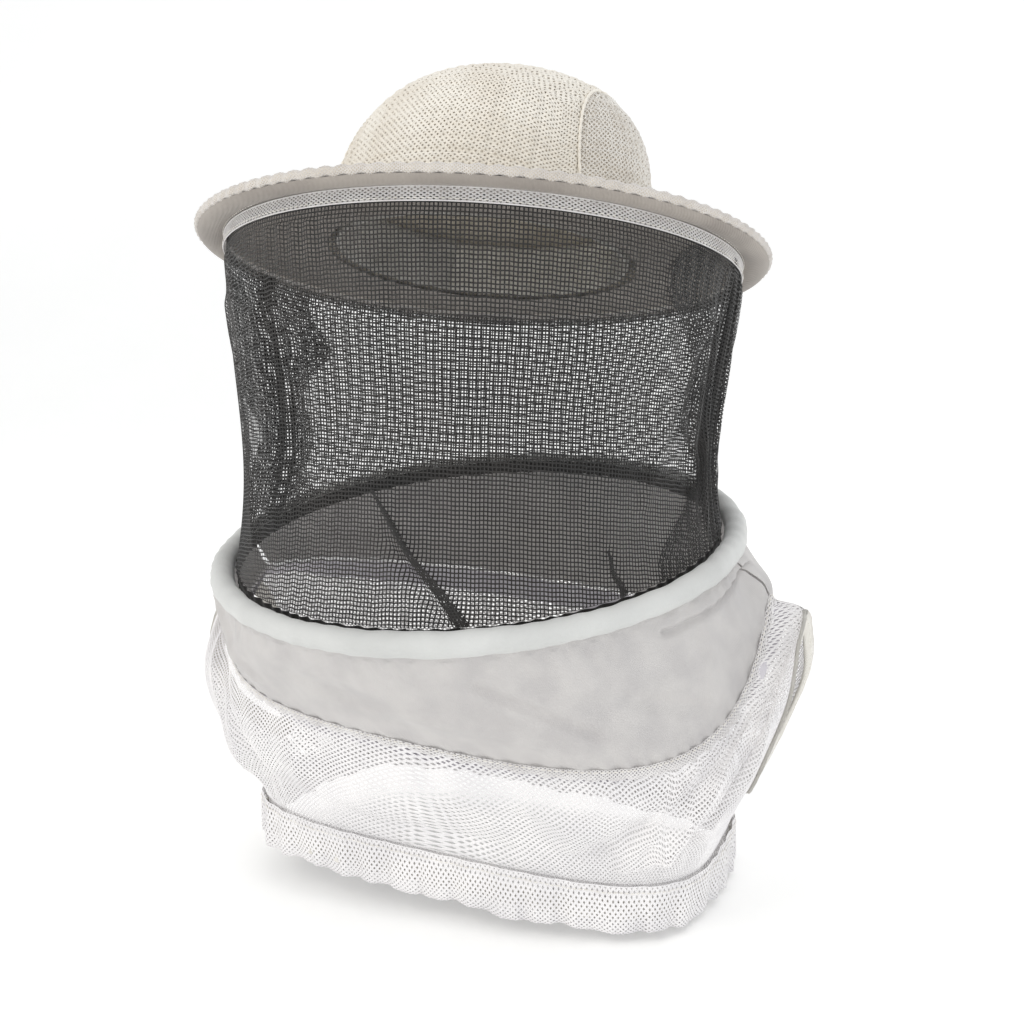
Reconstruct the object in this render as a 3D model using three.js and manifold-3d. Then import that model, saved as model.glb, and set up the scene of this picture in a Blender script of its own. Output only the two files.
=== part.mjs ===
// Ventilated beekeeping hat with its veil, hooped collar and short mesh bib.
// Millimetres, +Z up. The wearer faces -Y, so the wearer's left is +X.
// The origin is the middle of the head opening, on the plane of the hat's brim.
import * as THREE from 'three';
import Module from 'manifold-3d';
import { mergeVertices } from 'three/addons/utils/BufferGeometryUtils.js';

const wasm = await Module();
wasm.setup();

// ---------- driving dimensions ----------
const sewnGap = 0.4; // between pieces that are sewn or slipped together
const hatPitch = THREE.MathUtils.degToRad(-9); // the brim rides up at the front
const ringSteps = 36;

// brim
const brimEdgeRadius = 180;
const brimRollRadius = 6.5;
const brimRollWall = 2.2;
const brimRollMouth = THREE.MathUtils.degToRad(33); // half angle of the roll's sewn mouth
const brimSheet = 1.5;
const brimWireRadius = 1.5;
const ferruleWall = 0.8;
const ferruleLength = 26;

// crown
const crownHalfWidth = 98;
const crownHalfLength = 112;
const crownHeight = 102;
const crownWall = 2.2;
const crownPower = 2.9; // 2 is a plain ellipse, larger is boxier
const crownSeamReach = 84; // where the side seam's plane meets the brim, from the middle
const crownSeamLean = 0.22; // how far the seam leans in for each millimetre up
const crownSlump = 0.2; // how far the soft crown sinks to the wearer's left for each millimetre up
const crownNod = -0.08; // and how far it nods to the front
const liningWall = 1.2;
const pipingRadius = 2.2;
const pipingSides = 6;

// sweatband
const sweatbandHeight = 34;
const sweatbandWall = 1.6;
const elasticHalfSpan = 42; // degrees each side of the back
const bandClear = 3; // between the band's top edge and the lining
const bandSplit = 0.4; // degrees between the band and its elastic end

// veil
const veilTopRadius = 161;
const veilBottomRadius = 153.5;
const veilWaist = 7; // how far the net is drawn in between its two rings
const netThickness = 1.2;
const topTapeHeight = 12;
const tapeWall = 1.2;
const bottomTapeHeight = 9;
const seamHalfAngle = 2.6; // degrees
const panelSplit = 0.3; // degrees between a panel of net and its side seam
const netClear = 0.6; // between the net's edges and the tapes they are sewn to

// collar hoop
const hoopRadius = 163;
const hoopTubeRadius = 7;
const hoopSleeveWall = 1;
const hoopWireRadius = 2;
const foamSlack = 1.2; // between the foam and the sleeve drawn over it
const foamBoreSlack = 0.7; // between the foam and the wire inside it
const foamStop = 2; // the foam stops this far short of the wire's ferrule
const hoopMouth = THREE.MathUtils.degToRad(20);
const hoopPitch = THREE.MathUtils.degToRad(13); // the collar drops at the front
const hoopDrop = 176;
const hoopForward = 11;

// yoke and bib
const clothThickness = 1.2;
const bibShift = 10; // the bib hangs a little to the wearer's left
const yokeHalfWidth = 175;
const yokeFrontReach = 130;
const yokeBackReach = 135;
const yokeFrontZ = -278;
const yokeBackZ = -228;
const shoulderZ = -205;
const yokePower = 2.5;
const yokeFallPower = 3.5; // higher keeps the yoke's lower edge deep for longer round the body
const yokeSkewPower = 4; // higher keeps the skew for longer round the body
const yokeSwell = 4; // how far the cloth stands out between its two edges
const yokeTopOut = 2.5; // the yoke joins the sleeve this far outside the hoop's centre line
const yokeSkew = 0.1; // the lower edge drops towards the wearer's left
const shoulderHalfWidth = 193;
const shoulderDrop = 5;
const armholeBottomZ = -325;
const armholeBottomHalfWidth = 166;
const armholeReach = 45;
const seamHalfGap = 1.7; // between the seam plane and each sheet that ends at it
const bibClear = 1; // between the yoke's cloth and the bib's edge
const hemClear = 0.6; // between the bib's lower edge and the hem

// hem
const hemHalfWidth = 148;
const hemHalfDepth = 102;
const hemTopZ = -342;
const hemHeight = 28;
const hemPower = 3.6;
const hemSkew = 0.068; // the hem drops towards the wearer's left, from the right side seam
const hemWall = 1.2;
const hemMouth = 3.4; // clear width between the folded hem's two walls
const hemElasticHeight = 15;
const hemElasticThickness = 2.2;
const armBindingWidth = 9;
const armBindingLap = 2; // the binding stands this far off the cloth's edge, both ways
const armBindingThickness = 2.4;
const clothSplit = 0.35; // degrees each side of a seam between front and back

// ---------- colours ----------
const lace = { color: 0xe9e2d6, roughness: 0.85 };
const whiteMesh = { color: 0xe6e3e6, roughness: 0.8 };
const greyCloth = { color: 0xcfd0ce, roughness: 0.75 };
const underCloth = { color: 0x8f8a82, roughness: 0.8 };
const blackNet = { color: 0x1b1a19, roughness: 0.7 };
const elastic = { color: 0xf2f0ea, roughness: 0.9 };
const foam = { color: 0xbfc0c2, roughness: 0.95 };
const steel = { color: 0xb9bcc0, roughness: 0.35, metalness: 1 };

// ---------- geometry helpers ----------
function closed(geometry) {
  const bare = geometry.clone();
  bare.deleteAttribute('normal');
  bare.deleteAttribute('uv');
  const merged = mergeVertices(bare, 1e-4);
  const p = merged.attributes.position;
  const index = merged.index.array;
  const corners = [new THREE.Vector3(), new THREE.Vector3(), new THREE.Vector3()];
  let volume = 0;
  for (let i = 0; i < index.length; i += 3) {
    corners.forEach((corner, k) => corner.fromBufferAttribute(p, index[i + k]));
    volume += corners[0].dot(corners[1].cross(corners[2]));
  }
  if (volume < 0) {
    for (let i = 0; i < index.length; i += 3) {
      [index[i], index[i + 1]] = [index[i + 1], index[i]];
    }
  }
  return merged;
}

function solid(geometry) {
  const merged = closed(geometry);
  return new wasm.Manifold(new wasm.Mesh({
    numProp: 3,
    vertProperties: new Float32Array(merged.attributes.position.array),
    triVerts: new Uint32Array(merged.index.array),
  }));
}

function geometryOf(manifold) {
  const mesh = manifold.getMesh();
  const geometry = new THREE.BufferGeometry();
  geometry.setAttribute('position', new THREE.BufferAttribute(mesh.vertProperties, 3));
  geometry.setIndex(new THREE.BufferAttribute(mesh.triVerts, 1));
  return geometry;
}

function lathe(profile) {
  const points = profile.map(([r, z]) => new THREE.Vector2(r, z));
  return closed(new THREE.LatheGeometry(points, ringSteps).rotateX(Math.PI / 2));
}

// A closed dome whose plan is an oval and whose height follows a superellipse. A dome that is
// cut away from another has a skirt, so that it cuts right through the other's base.
function dome(halfWidth, halfLength, height, skirt = 0) {
  const rows = 7;
  const profile = skirt > 0 ? [[0, -skirt], [1, -skirt]] : [[0, 0]];
  for (let i = 0; i <= rows; i += 1) {
    const a = (i / rows) * Math.PI / 2;
    const r = i === rows ? 0 : Math.cos(a) ** (2 / crownPower);
    profile.push([r, height * Math.sin(a) ** (2 / crownPower)]);
  }
  return lathe(profile).scale(halfWidth, halfLength, 1);
}

// A C-shaped tube section with its mouth at the given angle, centred on the ring's radius.
function splitTubeProfile(ringRadius, outer, inner, mouthAngle, mouthHalf) {
  const steps = 6;
  const from = mouthAngle + mouthHalf;
  const sweepAngle = 2 * Math.PI - 2 * mouthHalf;
  const arc = (radius, back) => Array.from({ length: steps + 1 }, (_, i) => {
    const share = back ? 1 - i / steps : i / steps;
    const a = from + share * sweepAngle;
    return [ringRadius + radius * Math.cos(a), radius * Math.sin(a)];
  });
  const points = [...arc(outer, false), ...arc(inner, true)];
  return [...points, points[0]];
}

// Stations along a path, each with a place and the section's two directions.
function sweep(stations, section, loop) {
  const positions = [];
  const index = [];
  const m = section.length;
  for (const { at, out, up } of stations) {
    for (const [o, u] of section) {
      const p = at.clone().addScaledVector(out, o).addScaledVector(up, u);
      positions.push(p.x, p.y, p.z);
    }
  }
  const spans = loop ? stations.length : stations.length - 1;
  for (let i = 0; i < spans; i += 1) {
    const next = ((i + 1) % stations.length) * m;
    for (let k = 0; k < m; k += 1) {
      const l = (k + 1) % m;
      index.push(i * m + k, next + k, next + l, i * m + k, next + l, i * m + l);
    }
  }
  if (!loop) {
    const flat = section.map(([o, u]) => new THREE.Vector2(o, u));
    const last = (stations.length - 1) * m;
    for (const [a, b, c] of THREE.ShapeUtils.triangulateShape(flat, [])) {
      index.push(a, b, c, last + a, last + c, last + b);
    }
  }
  const geometry = new THREE.BufferGeometry();
  geometry.setAttribute('position', new THREE.Float32BufferAttribute(positions, 3));
  geometry.setIndex(index);
  return closed(geometry);
}

function rectangle(outFrom, outTo, upFrom, upTo) {
  return [[outFrom, upFrom], [outTo, upFrom], [outTo, upTo], [outFrom, upTo]];
}

// A sheet of cloth of even thickness over a surface given by surface(u, v), both from 0 to 1.
function sheet(surface, columns, rows, thickness) {
  const grid = [];
  for (let j = 0; j <= rows; j += 1) {
    grid.push(Array.from({ length: columns + 1 }, (_, i) => surface(i / columns, j / rows)));
  }
  const positions = [];
  for (const side of [0.5, -0.5]) {
    for (let j = 0; j <= rows; j += 1) {
      for (let i = 0; i <= columns; i += 1) {
        const along = grid[j][Math.min(i + 1, columns)].clone().sub(grid[j][Math.max(i - 1, 0)]);
        const down = grid[Math.min(j + 1, rows)][i].clone().sub(grid[Math.max(j - 1, 0)][i]);
        const p = grid[j][i].clone().addScaledVector(along.cross(down).normalize(), side * thickness);
        positions.push(p.x, p.y, p.z);
      }
    }
  }
  const width = columns + 1;
  const layer = width * (rows + 1);
  const index = [];
  const quad = (a, b, c, d) => index.push(a, b, c, a, c, d);
  for (let j = 0; j < rows; j += 1) {
    for (let i = 0; i < columns; i += 1) {
      const a = j * width + i;
      quad(a, a + 1, a + width + 1, a + width);
      quad(layer + a, layer + a + width, layer + a + width + 1, layer + a + 1);
    }
  }
  const rim = [];
  for (let i = 0; i < columns; i += 1) rim.push(i);
  for (let j = 0; j < rows; j += 1) rim.push(j * width + columns);
  for (let i = columns; i > 0; i -= 1) rim.push(rows * width + i);
  for (let j = rows; j > 0; j -= 1) rim.push(j * width);
  rim.forEach((a, k) => {
    const b = rim[(k + 1) % rim.length];
    quad(a, layer + a, layer + b, b);
  });
  const geometry = new THREE.BufferGeometry();
  geometry.setAttribute('position', new THREE.Float32BufferAttribute(positions, 3));
  geometry.setIndex(index);
  return closed(geometry);
}

// Fills the space between four edges that meet at their ends. Each edge is a function of 0 to 1.
// The sides' own curves fade out quickly away from the sides.
function fourSided(top, bottom, left, right) {
  const fade = 6;
  return (u, v) => {
    const leftBend = left(v).sub(top(0).lerp(bottom(0), v));
    const rightBend = right(v).sub(top(1).lerp(bottom(1), v));
    const at = top(u).lerp(bottom(u), v);
    return at.addScaledVector(leftBend, (1 - u) ** fade).addScaledVector(rightBend, u ** fade);
  };
}

const object = new THREE.Group();
const hat = new THREE.Group();
const hoop = new THREE.Group();
hat.rotation.x = hatPitch;
hoop.rotation.x = hoopPitch;
hoop.position.set(0, -hoopForward, -hoopDrop);
object.add(hat, hoop);
hat.updateMatrix();
hoop.updateMatrix();

function piece(parent, name, geometry, look) {
  const mesh = new THREE.Mesh(geometry, new THREE.MeshStandardMaterial(look));
  mesh.name = name;
  parent.add(mesh);
  return mesh;
}

function ringPoint(radius, degrees, z) {
  const a = THREE.MathUtils.degToRad(degrees);
  return new THREE.Vector3(radius * Math.cos(a), radius * Math.sin(a), z);
}

// An oval walked clockwise from the front: 0 is the front, 90 the wearer's left, 180 the back.
function ovalPoint(halfWidth, halfDepth, power, degrees, z) {
  const a = THREE.MathUtils.degToRad(degrees);
  const bent = (value) => Math.sign(value) * Math.abs(value) ** (2 / power);
  return new THREE.Vector3(halfWidth * bent(Math.sin(a)), -halfDepth * bent(Math.cos(a)), z);
}

function ovalStations(halfWidth, halfDepth, power, z, from, to, steps, loop) {
  const count = loop ? steps : steps + 1;
  return Array.from({ length: count }, (_, i) => {
    const degrees = from + (to - from) * (i / steps);
    const at = ovalPoint(halfWidth, halfDepth, power, degrees, z);
    const ahead = ovalPoint(halfWidth, halfDepth, power, degrees + 0.5, z);
    const behind = ovalPoint(halfWidth, halfDepth, power, degrees - 0.5, z);
    const out = ahead.sub(behind).cross(new THREE.Vector3(0, 0, -1)).normalize();
    if (out.dot(new THREE.Vector3(at.x, at.y, 0)) < 0) out.negate();
    return { at, out, up: new THREE.Vector3(0, 0, 1) };
  });
}

// ---------- brim ----------
const brimRollCentre = brimEdgeRadius - brimRollRadius;
const brimSheetRadius = brimRollCentre - brimWireRadius - sewnGap - ferruleWall - sewnGap;
const headHalfWidth = crownHalfWidth - crownWall;
const headHalfLength = crownHalfLength - crownWall;

function brimSheetGeometry(bottomZ) {
  const shape = new THREE.Shape().absarc(0, 0, brimSheetRadius, 0, 2 * Math.PI);
  const opening = new THREE.Path();
  opening.absellipse(0, 0, headHalfWidth, headHalfLength, 0, 2 * Math.PI, true);
  shape.holes.push(opening);
  const options = { depth: brimSheet, bevelEnabled: false, curveSegments: 28 };
  return closed(new THREE.ExtrudeGeometry(shape, options).translate(0, 0, bottomZ));
}

function ferrule(parent, name, ringRadius, wireRadius) {
  const inner = wireRadius + sewnGap;
  const outer = inner + ferruleWall;
  const halfSpan = THREE.MathUtils.radToDeg(ferruleLength / 2 / ringRadius);
  const corner = 180 / ringSteps; // the wire is made of straight runs, and the ferrule follows two
  const tube = (radius, span) => {
    const stations = [-span, 0, span].map((degrees) => {
      const offChord = THREE.MathUtils.degToRad(Math.abs(degrees) - corner);
      const run = Math.cos(THREE.MathUtils.degToRad(corner)) / Math.cos(offChord);
      const at = ringPoint(ringRadius * run, 90 + degrees, 0);
      return { at, out: at.clone().normalize(), up: new THREE.Vector3(0, 0, 1) };
    });
    const section = Array.from({ length: 10 }, (_, i) => {
      const a = (i / 10) * 2 * Math.PI;
      return [radius * Math.cos(a), radius * Math.sin(a)];
    });
    return solid(sweep(stations, section, false));
  };
  const hollow = tube(outer, halfSpan).subtract(tube(inner, halfSpan * 1.2)); // cuts right through
  piece(parent, name, geometryOf(hollow), steel);
}

const brimRollProfile = splitTubeProfile(
  brimRollCentre, brimRollRadius, brimRollRadius - brimRollWall, Math.PI, brimRollMouth);
piece(hat, 'brim_upper_panel', brimSheetGeometry(sewnGap / 2), lace);
piece(hat, 'brim_under_panel', brimSheetGeometry(-sewnGap / 2 - brimSheet), underCloth);
piece(hat, 'brim_edge_roll', lathe(brimRollProfile), lace);
piece(hat, 'brim_wire', new THREE.TorusGeometry(brimRollCentre, brimWireRadius, 6, ringSteps), steel);
ferrule(hat, 'brim_wire_ferrule', brimRollCentre, brimWireRadius);

// ---------- crown ----------
const crownBaseZ = sewnGap / 2 + brimSheet + sewnGap;
const crownShell = solid(dome(crownHalfWidth, crownHalfLength, crownHeight))
  .subtract(solid(dome(headHalfWidth, headHalfLength, crownHeight - crownWall, crownWall)));

// Everything beyond the leaning plane of one side seam; side is +1 for the wearer's left.
function beyondSeam(side, clearance) {
  const size = 6 * crownHalfLength;
  const block = new THREE.BoxGeometry(size, size, size).translate(size / 2, 0, 0);
  const lean = Math.atan(crownSeamLean);
  block.rotateY(-lean).translate(crownSeamReach + clearance / Math.cos(lean), 0, 0);
  if (side < 0) block.rotateZ(Math.PI);
  return solid(block);
}

// The crown and what is sewn into it lean together from the crown's base.
const slump = new THREE.Matrix4().set(1, 0, crownSlump, 0, 0, 1, crownNod, 0, 0, 0, 1, 0, 0, 0, 0, 1);
function crownPiece(name, geometry, look) {
  piece(hat, name, geometry.applyMatrix4(slump), look).position.z = crownBaseZ;
}

const leftPanel = crownShell.intersect(beyondSeam(1, sewnGap / 2));
const rightPanel = crownShell.intersect(beyondSeam(-1, sewnGap / 2));
const centrePanel = crownShell
  .subtract(beyondSeam(1, -sewnGap / 2))
  .subtract(beyondSeam(-1, -sewnGap / 2));
crownPiece('crown_center_panel', geometryOf(centrePanel), lace);
crownPiece('crown_left_panel', geometryOf(leftPanel), lace);
crownPiece('crown_right_panel', geometryOf(rightPanel), lace);

const liningHalfWidth = headHalfWidth - sewnGap;
const liningHalfLength = headHalfLength - sewnGap;
const liningHeight = crownHeight - crownWall - sewnGap;
const lining = solid(dome(liningHalfWidth, liningHalfLength, liningHeight))
  .subtract(solid(dome(liningHalfWidth - liningWall, liningHalfLength - liningWall,
    liningHeight - liningWall, liningWall)));
crownPiece('crown_lining', geometryOf(lining), lace);

const pipingSection = Array.from({ length: pipingSides }, (_, i) => {
  const a = (i / pipingSides) * 2 * Math.PI;
  return [pipingRadius * Math.cos(a), pipingRadius * Math.sin(a)];
});
const pipingOffset = pipingRadius + sewnGap;
const pipingStations = ovalStations(crownHalfWidth + pipingOffset, crownHalfLength + pipingOffset,
  2, pipingRadius, 0, 360, ringSteps, true);
crownPiece('crown_base_piping', sweep(pipingStations, pipingSection, true), lace);

// ---------- sweatband ----------
const bandHalfWidth = liningHalfWidth - liningWall - sewnGap - sweatbandWall / 2;
const bandHalfLength = liningHalfLength - liningWall - sewnGap - sweatbandWall / 2;
// The dome leans in as it rises, so the band's top edge sets how far in the band must stand.
const domeLean = 1 - (1 - (sweatbandHeight / (liningHeight - liningWall)) ** crownPower) ** (1 / crownPower);
const bandSection = rectangle(
  -sweatbandWall / 2, sweatbandWall / 2, -crownBaseZ, sweatbandHeight - crownBaseZ);
function bandStations(from, to, steps) {
  const inset = domeLean * crownHalfLength + bandClear;
  return ovalStations(bandHalfWidth - inset, bandHalfLength - inset, 2, 0, from, to, steps, false);
}
const frontEnd = 180 - elasticHalfSpan - bandSplit;
crownPiece('sweatband', sweep(bandStations(-frontEnd, frontEnd, 30), bandSection, false), greyCloth);
crownPiece('sweatband_elastic',
  sweep(bandStations(180 - elasticHalfSpan, 180 + elasticHalfSpan, 12), bandSection, false), elastic);

// ---------- veil ----------
const topTapeTopZ = -sewnGap / 2 - brimSheet - sewnGap;
const topTapeBottomZ = topTapeTopZ - topTapeHeight;
const topTapeProfile = rectangle(
  veilTopRadius - tapeWall / 2, veilTopRadius + tapeWall / 2, topTapeBottomZ, topTapeTopZ);
piece(hat, 'veil_top_tape', lathe([...topTapeProfile, topTapeProfile[0]]), whiteMesh);

const bottomTapeTopZ = bottomTapeHeight / 2;
const bottomTapeProfile = rectangle(veilBottomRadius - tapeWall / 2, veilBottomRadius + tapeWall / 2,
  -bottomTapeHeight / 2, bottomTapeTopZ);
piece(hoop, 'veil_bottom_tape', lathe([...bottomTapeProfile, bottomTapeProfile[0]]), blackNet);

function veilPoint(degrees, share) {
  const top = ringPoint(veilTopRadius, degrees, topTapeBottomZ - netClear).applyMatrix4(hat.matrix);
  const bottom = ringPoint(veilBottomRadius, degrees, bottomTapeTopZ + netClear);
  bottom.applyMatrix4(hoop.matrix);
  const drawnIn = veilWaist * Math.sin(Math.PI * share ** 1.5);
  return top.lerp(bottom, share).sub(ringPoint(drawnIn, degrees, 0));
}
function veilSheet(from, to, columns) {
  return sheet((u, v) => veilPoint(from + (to - from) * u, v), columns, 5, netThickness);
}
const panelStart = seamHalfAngle + panelSplit;
piece(object, 'veil_front_panel', veilSheet(-180 + panelStart, -panelStart, 16), blackNet);
piece(object, 'veil_back_panel', veilSheet(panelStart, 180 - panelStart, 16), blackNet);
piece(object, 'veil_left_seam', veilSheet(-seamHalfAngle, seamHalfAngle, 1), blackNet);
piece(object, 'veil_right_seam', veilSheet(180 - seamHalfAngle, 180 + seamHalfAngle, 1), blackNet);

// ---------- collar hoop ----------
const foamOuter = hoopTubeRadius - hoopSleeveWall - foamSlack;
const foamInner = hoopWireRadius + foamBoreSlack;
const sleeveProfile = splitTubeProfile(
  hoopRadius, hoopTubeRadius, hoopTubeRadius - hoopSleeveWall, -Math.PI / 2, hoopMouth);
piece(hoop, 'hoop_sleeve', lathe(sleeveProfile), greyCloth);

// The foam is a slit tube that is pushed over the wire; it stops short at the wire's ferrule.
const foamRing = solid(lathe(splitTubeProfile(hoopRadius, foamOuter, foamInner, Math.PI, hoopMouth)));
const ferruleRoom = new THREE.BoxGeometry(
  ferruleLength + 2 * foamStop, 4 * hoopTubeRadius, 4 * hoopTubeRadius).translate(0, hoopRadius, 0);
piece(hoop, 'hoop_foam', geometryOf(foamRing.subtract(solid(ferruleRoom))), foam);
piece(hoop, 'hoop_wire', new THREE.TorusGeometry(hoopRadius, hoopWireRadius, 6, ringSteps), steel);
ferrule(hoop, 'hoop_wire_ferrule', hoopRadius, hoopWireRadius);

// ---------- yoke ----------
const toBib = new THREE.Vector3(bibShift, 0, 0);

// The yoke's lower edge; degrees run as on the ovals.
function yokeEdge(degrees) {
  const turned = Math.abs(THREE.MathUtils.euclideanModulo(degrees + 180, 360) - 180);
  const back = turned > 90;
  const reach = back ? yokeBackReach : yokeFrontReach;
  const lowest = back ? yokeBackZ : yokeFrontZ;
  const at = ovalPoint(yokeHalfWidth, reach, yokePower, degrees, 0);
  const fromMiddle = (back ? 180 - turned : turned) / 90;
  const fall = 1 - fromMiddle ** yokeFallPower;
  at.z = shoulderZ + (lowest - shoulderZ) * fall - yokeSkew * at.x * (1 - fromMiddle ** yokeSkewPower);
  return at.add(toBib);
}
const yokeTopRadius = hoopRadius + yokeTopOut;
const yokeTopZ = -hoopTubeRadius - clothThickness / 2 - sewnGap;
function yokeTop(degrees) {
  return ringPoint(yokeTopRadius, degrees - 90, yokeTopZ).applyMatrix4(hoop.matrix);
}
function yokeSheet(from, to) {
  const angle = (u) => from + (to - from) * u;
  const surface = (u, v) => {
    const at = yokeTop(angle(u)).lerp(yokeEdge(angle(u)), v);
    const swell = yokeSwell * Math.sin(Math.PI * v);
    return at.add(ovalPoint(swell, swell, 2, angle(u), 0));
  };
  return sheet(surface, 20, 4, clothThickness);
}
piece(object, 'yoke_front', yokeSheet(-90 + clothSplit, 90 - clothSplit), greyCloth);
piece(object, 'yoke_back', yokeSheet(90 + clothSplit, 270 - clothSplit), greyCloth);

// ---------- bib ----------
const bibTopGap = clothThickness + bibClear;
const hemSeamGap = clothThickness / 2 + hemClear;

// The bib's upper edge runs beside the yoke's lower edge, a small gap further down the cloth.
function bibTop(degrees) {
  const along = yokeEdge(degrees + 0.5).sub(yokeEdge(degrees - 0.5)).normalize();
  const down = yokeEdge(degrees).sub(yokeTop(degrees));
  down.addScaledVector(along, -down.dot(along)).normalize();
  return yokeEdge(degrees).addScaledVector(down, bibTopGap);
}

// Drops a point of the level hem to where the hem hangs.
function skewed(at) {
  at.z -= hemSkew * (at.x + hemHalfWidth);
  return at;
}

// The bib's side edge on one side: shoulder seam, armhole, then the short seam under the arm.
function bibSide(side, facing) {
  const shoulder = shoulderZ - shoulderDrop;
  const middle = (shoulder + armholeBottomZ) / 2;
  const points = [
    [shoulderHalfWidth, seamHalfGap, shoulder],
    [shoulderHalfWidth + 2, armholeReach * 0.65, shoulder - 18],
    [shoulderHalfWidth, armholeReach, middle + 12],
    [(shoulderHalfWidth + armholeBottomHalfWidth) / 2, armholeReach * 0.95, middle - 26],
    [armholeBottomHalfWidth, armholeReach * 0.3, armholeBottomZ + 2],
    [armholeBottomHalfWidth - 5, seamHalfGap, armholeBottomZ - 4],
    [hemHalfWidth, seamHalfGap, hemTopZ + hemSeamGap],
  ];
  const list = points.map(([x, y, z]) => new THREE.Vector3(side * x, facing * y, z));
  skewed(list.at(-1));
  list.forEach((at) => at.add(toBib));
  const neck = bibTop(side * 90);
  neck.y = facing * seamHalfGap;
  return new THREE.CatmullRomCurve3([neck, ...list], false, 'centripetal');
}
// The side edge has seven runs. The armhole is what lies between the shoulder tip, where the
// first run ends, and the top of the seam under the arm, where the sixth one ends.
const sideRuns = 7;
const armholeFrom = 1.15 / sideRuns;
const armholeTo = 5.75 / sideRuns;

function bibSheet(facing) {
  const middle = facing < 0 ? 0 : 180;
  const angle = (u) => middle - facing * 180 * (u - 0.5);
  const right = bibSide(-1, facing);
  const left = bibSide(1, facing);
  const clearOfSeam = (at) => {
    at.y = facing * Math.max(facing * at.y, seamHalfGap);
    return at;
  };
  const edge = (u) => clearOfSeam(bibTop(angle(u)));
  const hemEdge = (u) => clearOfSeam(
    skewed(ovalPoint(hemHalfWidth, hemHalfDepth, hemPower, angle(u), hemTopZ + hemSeamGap)).add(toBib));
  const surface = fourSided(edge, hemEdge, (v) => right.getPoint(v), (v) => left.getPoint(v));
  return sheet(surface, 20, 12, clothThickness);
}
piece(object, 'bib_front', bibSheet(-1), whiteMesh);
piece(object, 'bib_back', bibSheet(1), whiteMesh);

function armBinding(side) {
  const steps = 14;
  const front = bibSide(side, -1);
  const back = bibSide(side, 1);
  const share = (i) => armholeFrom + (armholeTo - armholeFrom) * (i / steps);
  const loop = [];
  for (let i = 0; i <= steps; i += 1) loop.push(front.getPoint(share(i)));
  for (let i = steps; i >= 0; i -= 1) loop.push(back.getPoint(share(i)));
  const middle = new THREE.Vector3();
  loop.forEach((p) => middle.add(p));
  middle.divideScalar(loop.length);
  const stations = loop.map((at, i) => {
    const along = loop[(i + 1) % loop.length].clone().sub(loop.at(i - 1)).normalize();
    const inward = middle.clone().sub(at);
    inward.addScaledVector(along, -inward.dot(along)).normalize();
    const up = along.clone().cross(inward).normalize();
    if (up.x * side < 0) up.negate();
    const clear = clothThickness / 2 + armBindingLap;
    return { at: at.clone().addScaledVector(inward, clear), out: inward, up };
  });
  const section = rectangle(0, armBindingThickness, armBindingLap, armBindingLap + armBindingWidth);
  return sweep(stations, section, true);
}
piece(object, 'armhole_binding_left', armBinding(1), elastic);
piece(object, 'armhole_binding_right', armBinding(-1), elastic);

// ---------- hem ----------
const hemHalfMouth = hemMouth / 2;
const hemOut = hemHalfMouth + hemWall;
const hemSection = [
  [-hemOut, -hemHeight], [hemOut, -hemHeight], [hemOut, 0], [hemHalfMouth, 0],
  [hemHalfMouth, -hemHeight + hemWall], [-hemHalfMouth, -hemHeight + hemWall],
  [-hemHalfMouth, 0], [-hemOut, 0],
];
function hemStations(from, to, steps, loop) {
  const list = ovalStations(hemHalfWidth, hemHalfDepth, hemPower, hemTopZ, from, to, steps, loop);
  list.forEach(({ at }) => skewed(at).add(toBib));
  return list;
}
const hemSplit = 0.02; // degrees each side of the side seams, where the oval moves fast
piece(object, 'hem_front', sweep(hemStations(-90 + hemSplit, 90 - hemSplit, 20, false), hemSection, false),
  whiteMesh);
piece(object, 'hem_back', sweep(hemStations(90 + hemSplit, 270 - hemSplit, 20, false), hemSection, false),
  whiteMesh);
const elasticBottom = -hemHeight + hemWall + sewnGap;
const elasticSection = rectangle(-hemElasticThickness / 2, hemElasticThickness / 2,
  elasticBottom, elasticBottom + hemElasticHeight);
piece(object, 'hem_elastic', sweep(hemStations(0, 360, 40, true), elasticSection, true), elastic);

export default object;
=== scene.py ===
import math

import bmesh
import bpy
import numpy as np
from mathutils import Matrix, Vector


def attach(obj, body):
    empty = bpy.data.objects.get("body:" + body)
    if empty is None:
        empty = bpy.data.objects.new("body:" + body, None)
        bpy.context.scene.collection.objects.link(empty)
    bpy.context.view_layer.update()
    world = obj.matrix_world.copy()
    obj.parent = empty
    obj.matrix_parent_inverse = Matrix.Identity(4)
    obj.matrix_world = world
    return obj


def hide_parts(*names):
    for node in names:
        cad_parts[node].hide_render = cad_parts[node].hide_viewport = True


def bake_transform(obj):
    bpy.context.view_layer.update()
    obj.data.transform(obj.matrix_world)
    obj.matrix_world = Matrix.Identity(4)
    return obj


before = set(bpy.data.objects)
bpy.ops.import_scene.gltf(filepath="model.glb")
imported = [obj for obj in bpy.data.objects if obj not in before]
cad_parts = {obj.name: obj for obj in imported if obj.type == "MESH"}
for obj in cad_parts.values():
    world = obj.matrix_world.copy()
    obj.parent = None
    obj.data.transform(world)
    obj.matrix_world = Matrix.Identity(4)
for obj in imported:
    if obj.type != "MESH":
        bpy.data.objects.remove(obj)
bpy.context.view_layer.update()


# ---------------------------------------------------------------------------------------------
# View, floor and light: a plain pale sweep, lit by broad soft lamps from the front and above.
# The camera stands a little to the wearer's left, almost level with the collar.
# ---------------------------------------------------------------------------------------------
def to_linear(code):
    """The linear colour of an sRGB hex code."""
    parts = [int(code[i:i + 2], 16) / 255 for i in (1, 3, 5)]
    return [c / 12.92 if c <= 0.04045 else ((c + 0.055) / 1.055) ** 2.4 for c in parts] + [1.0]


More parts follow.
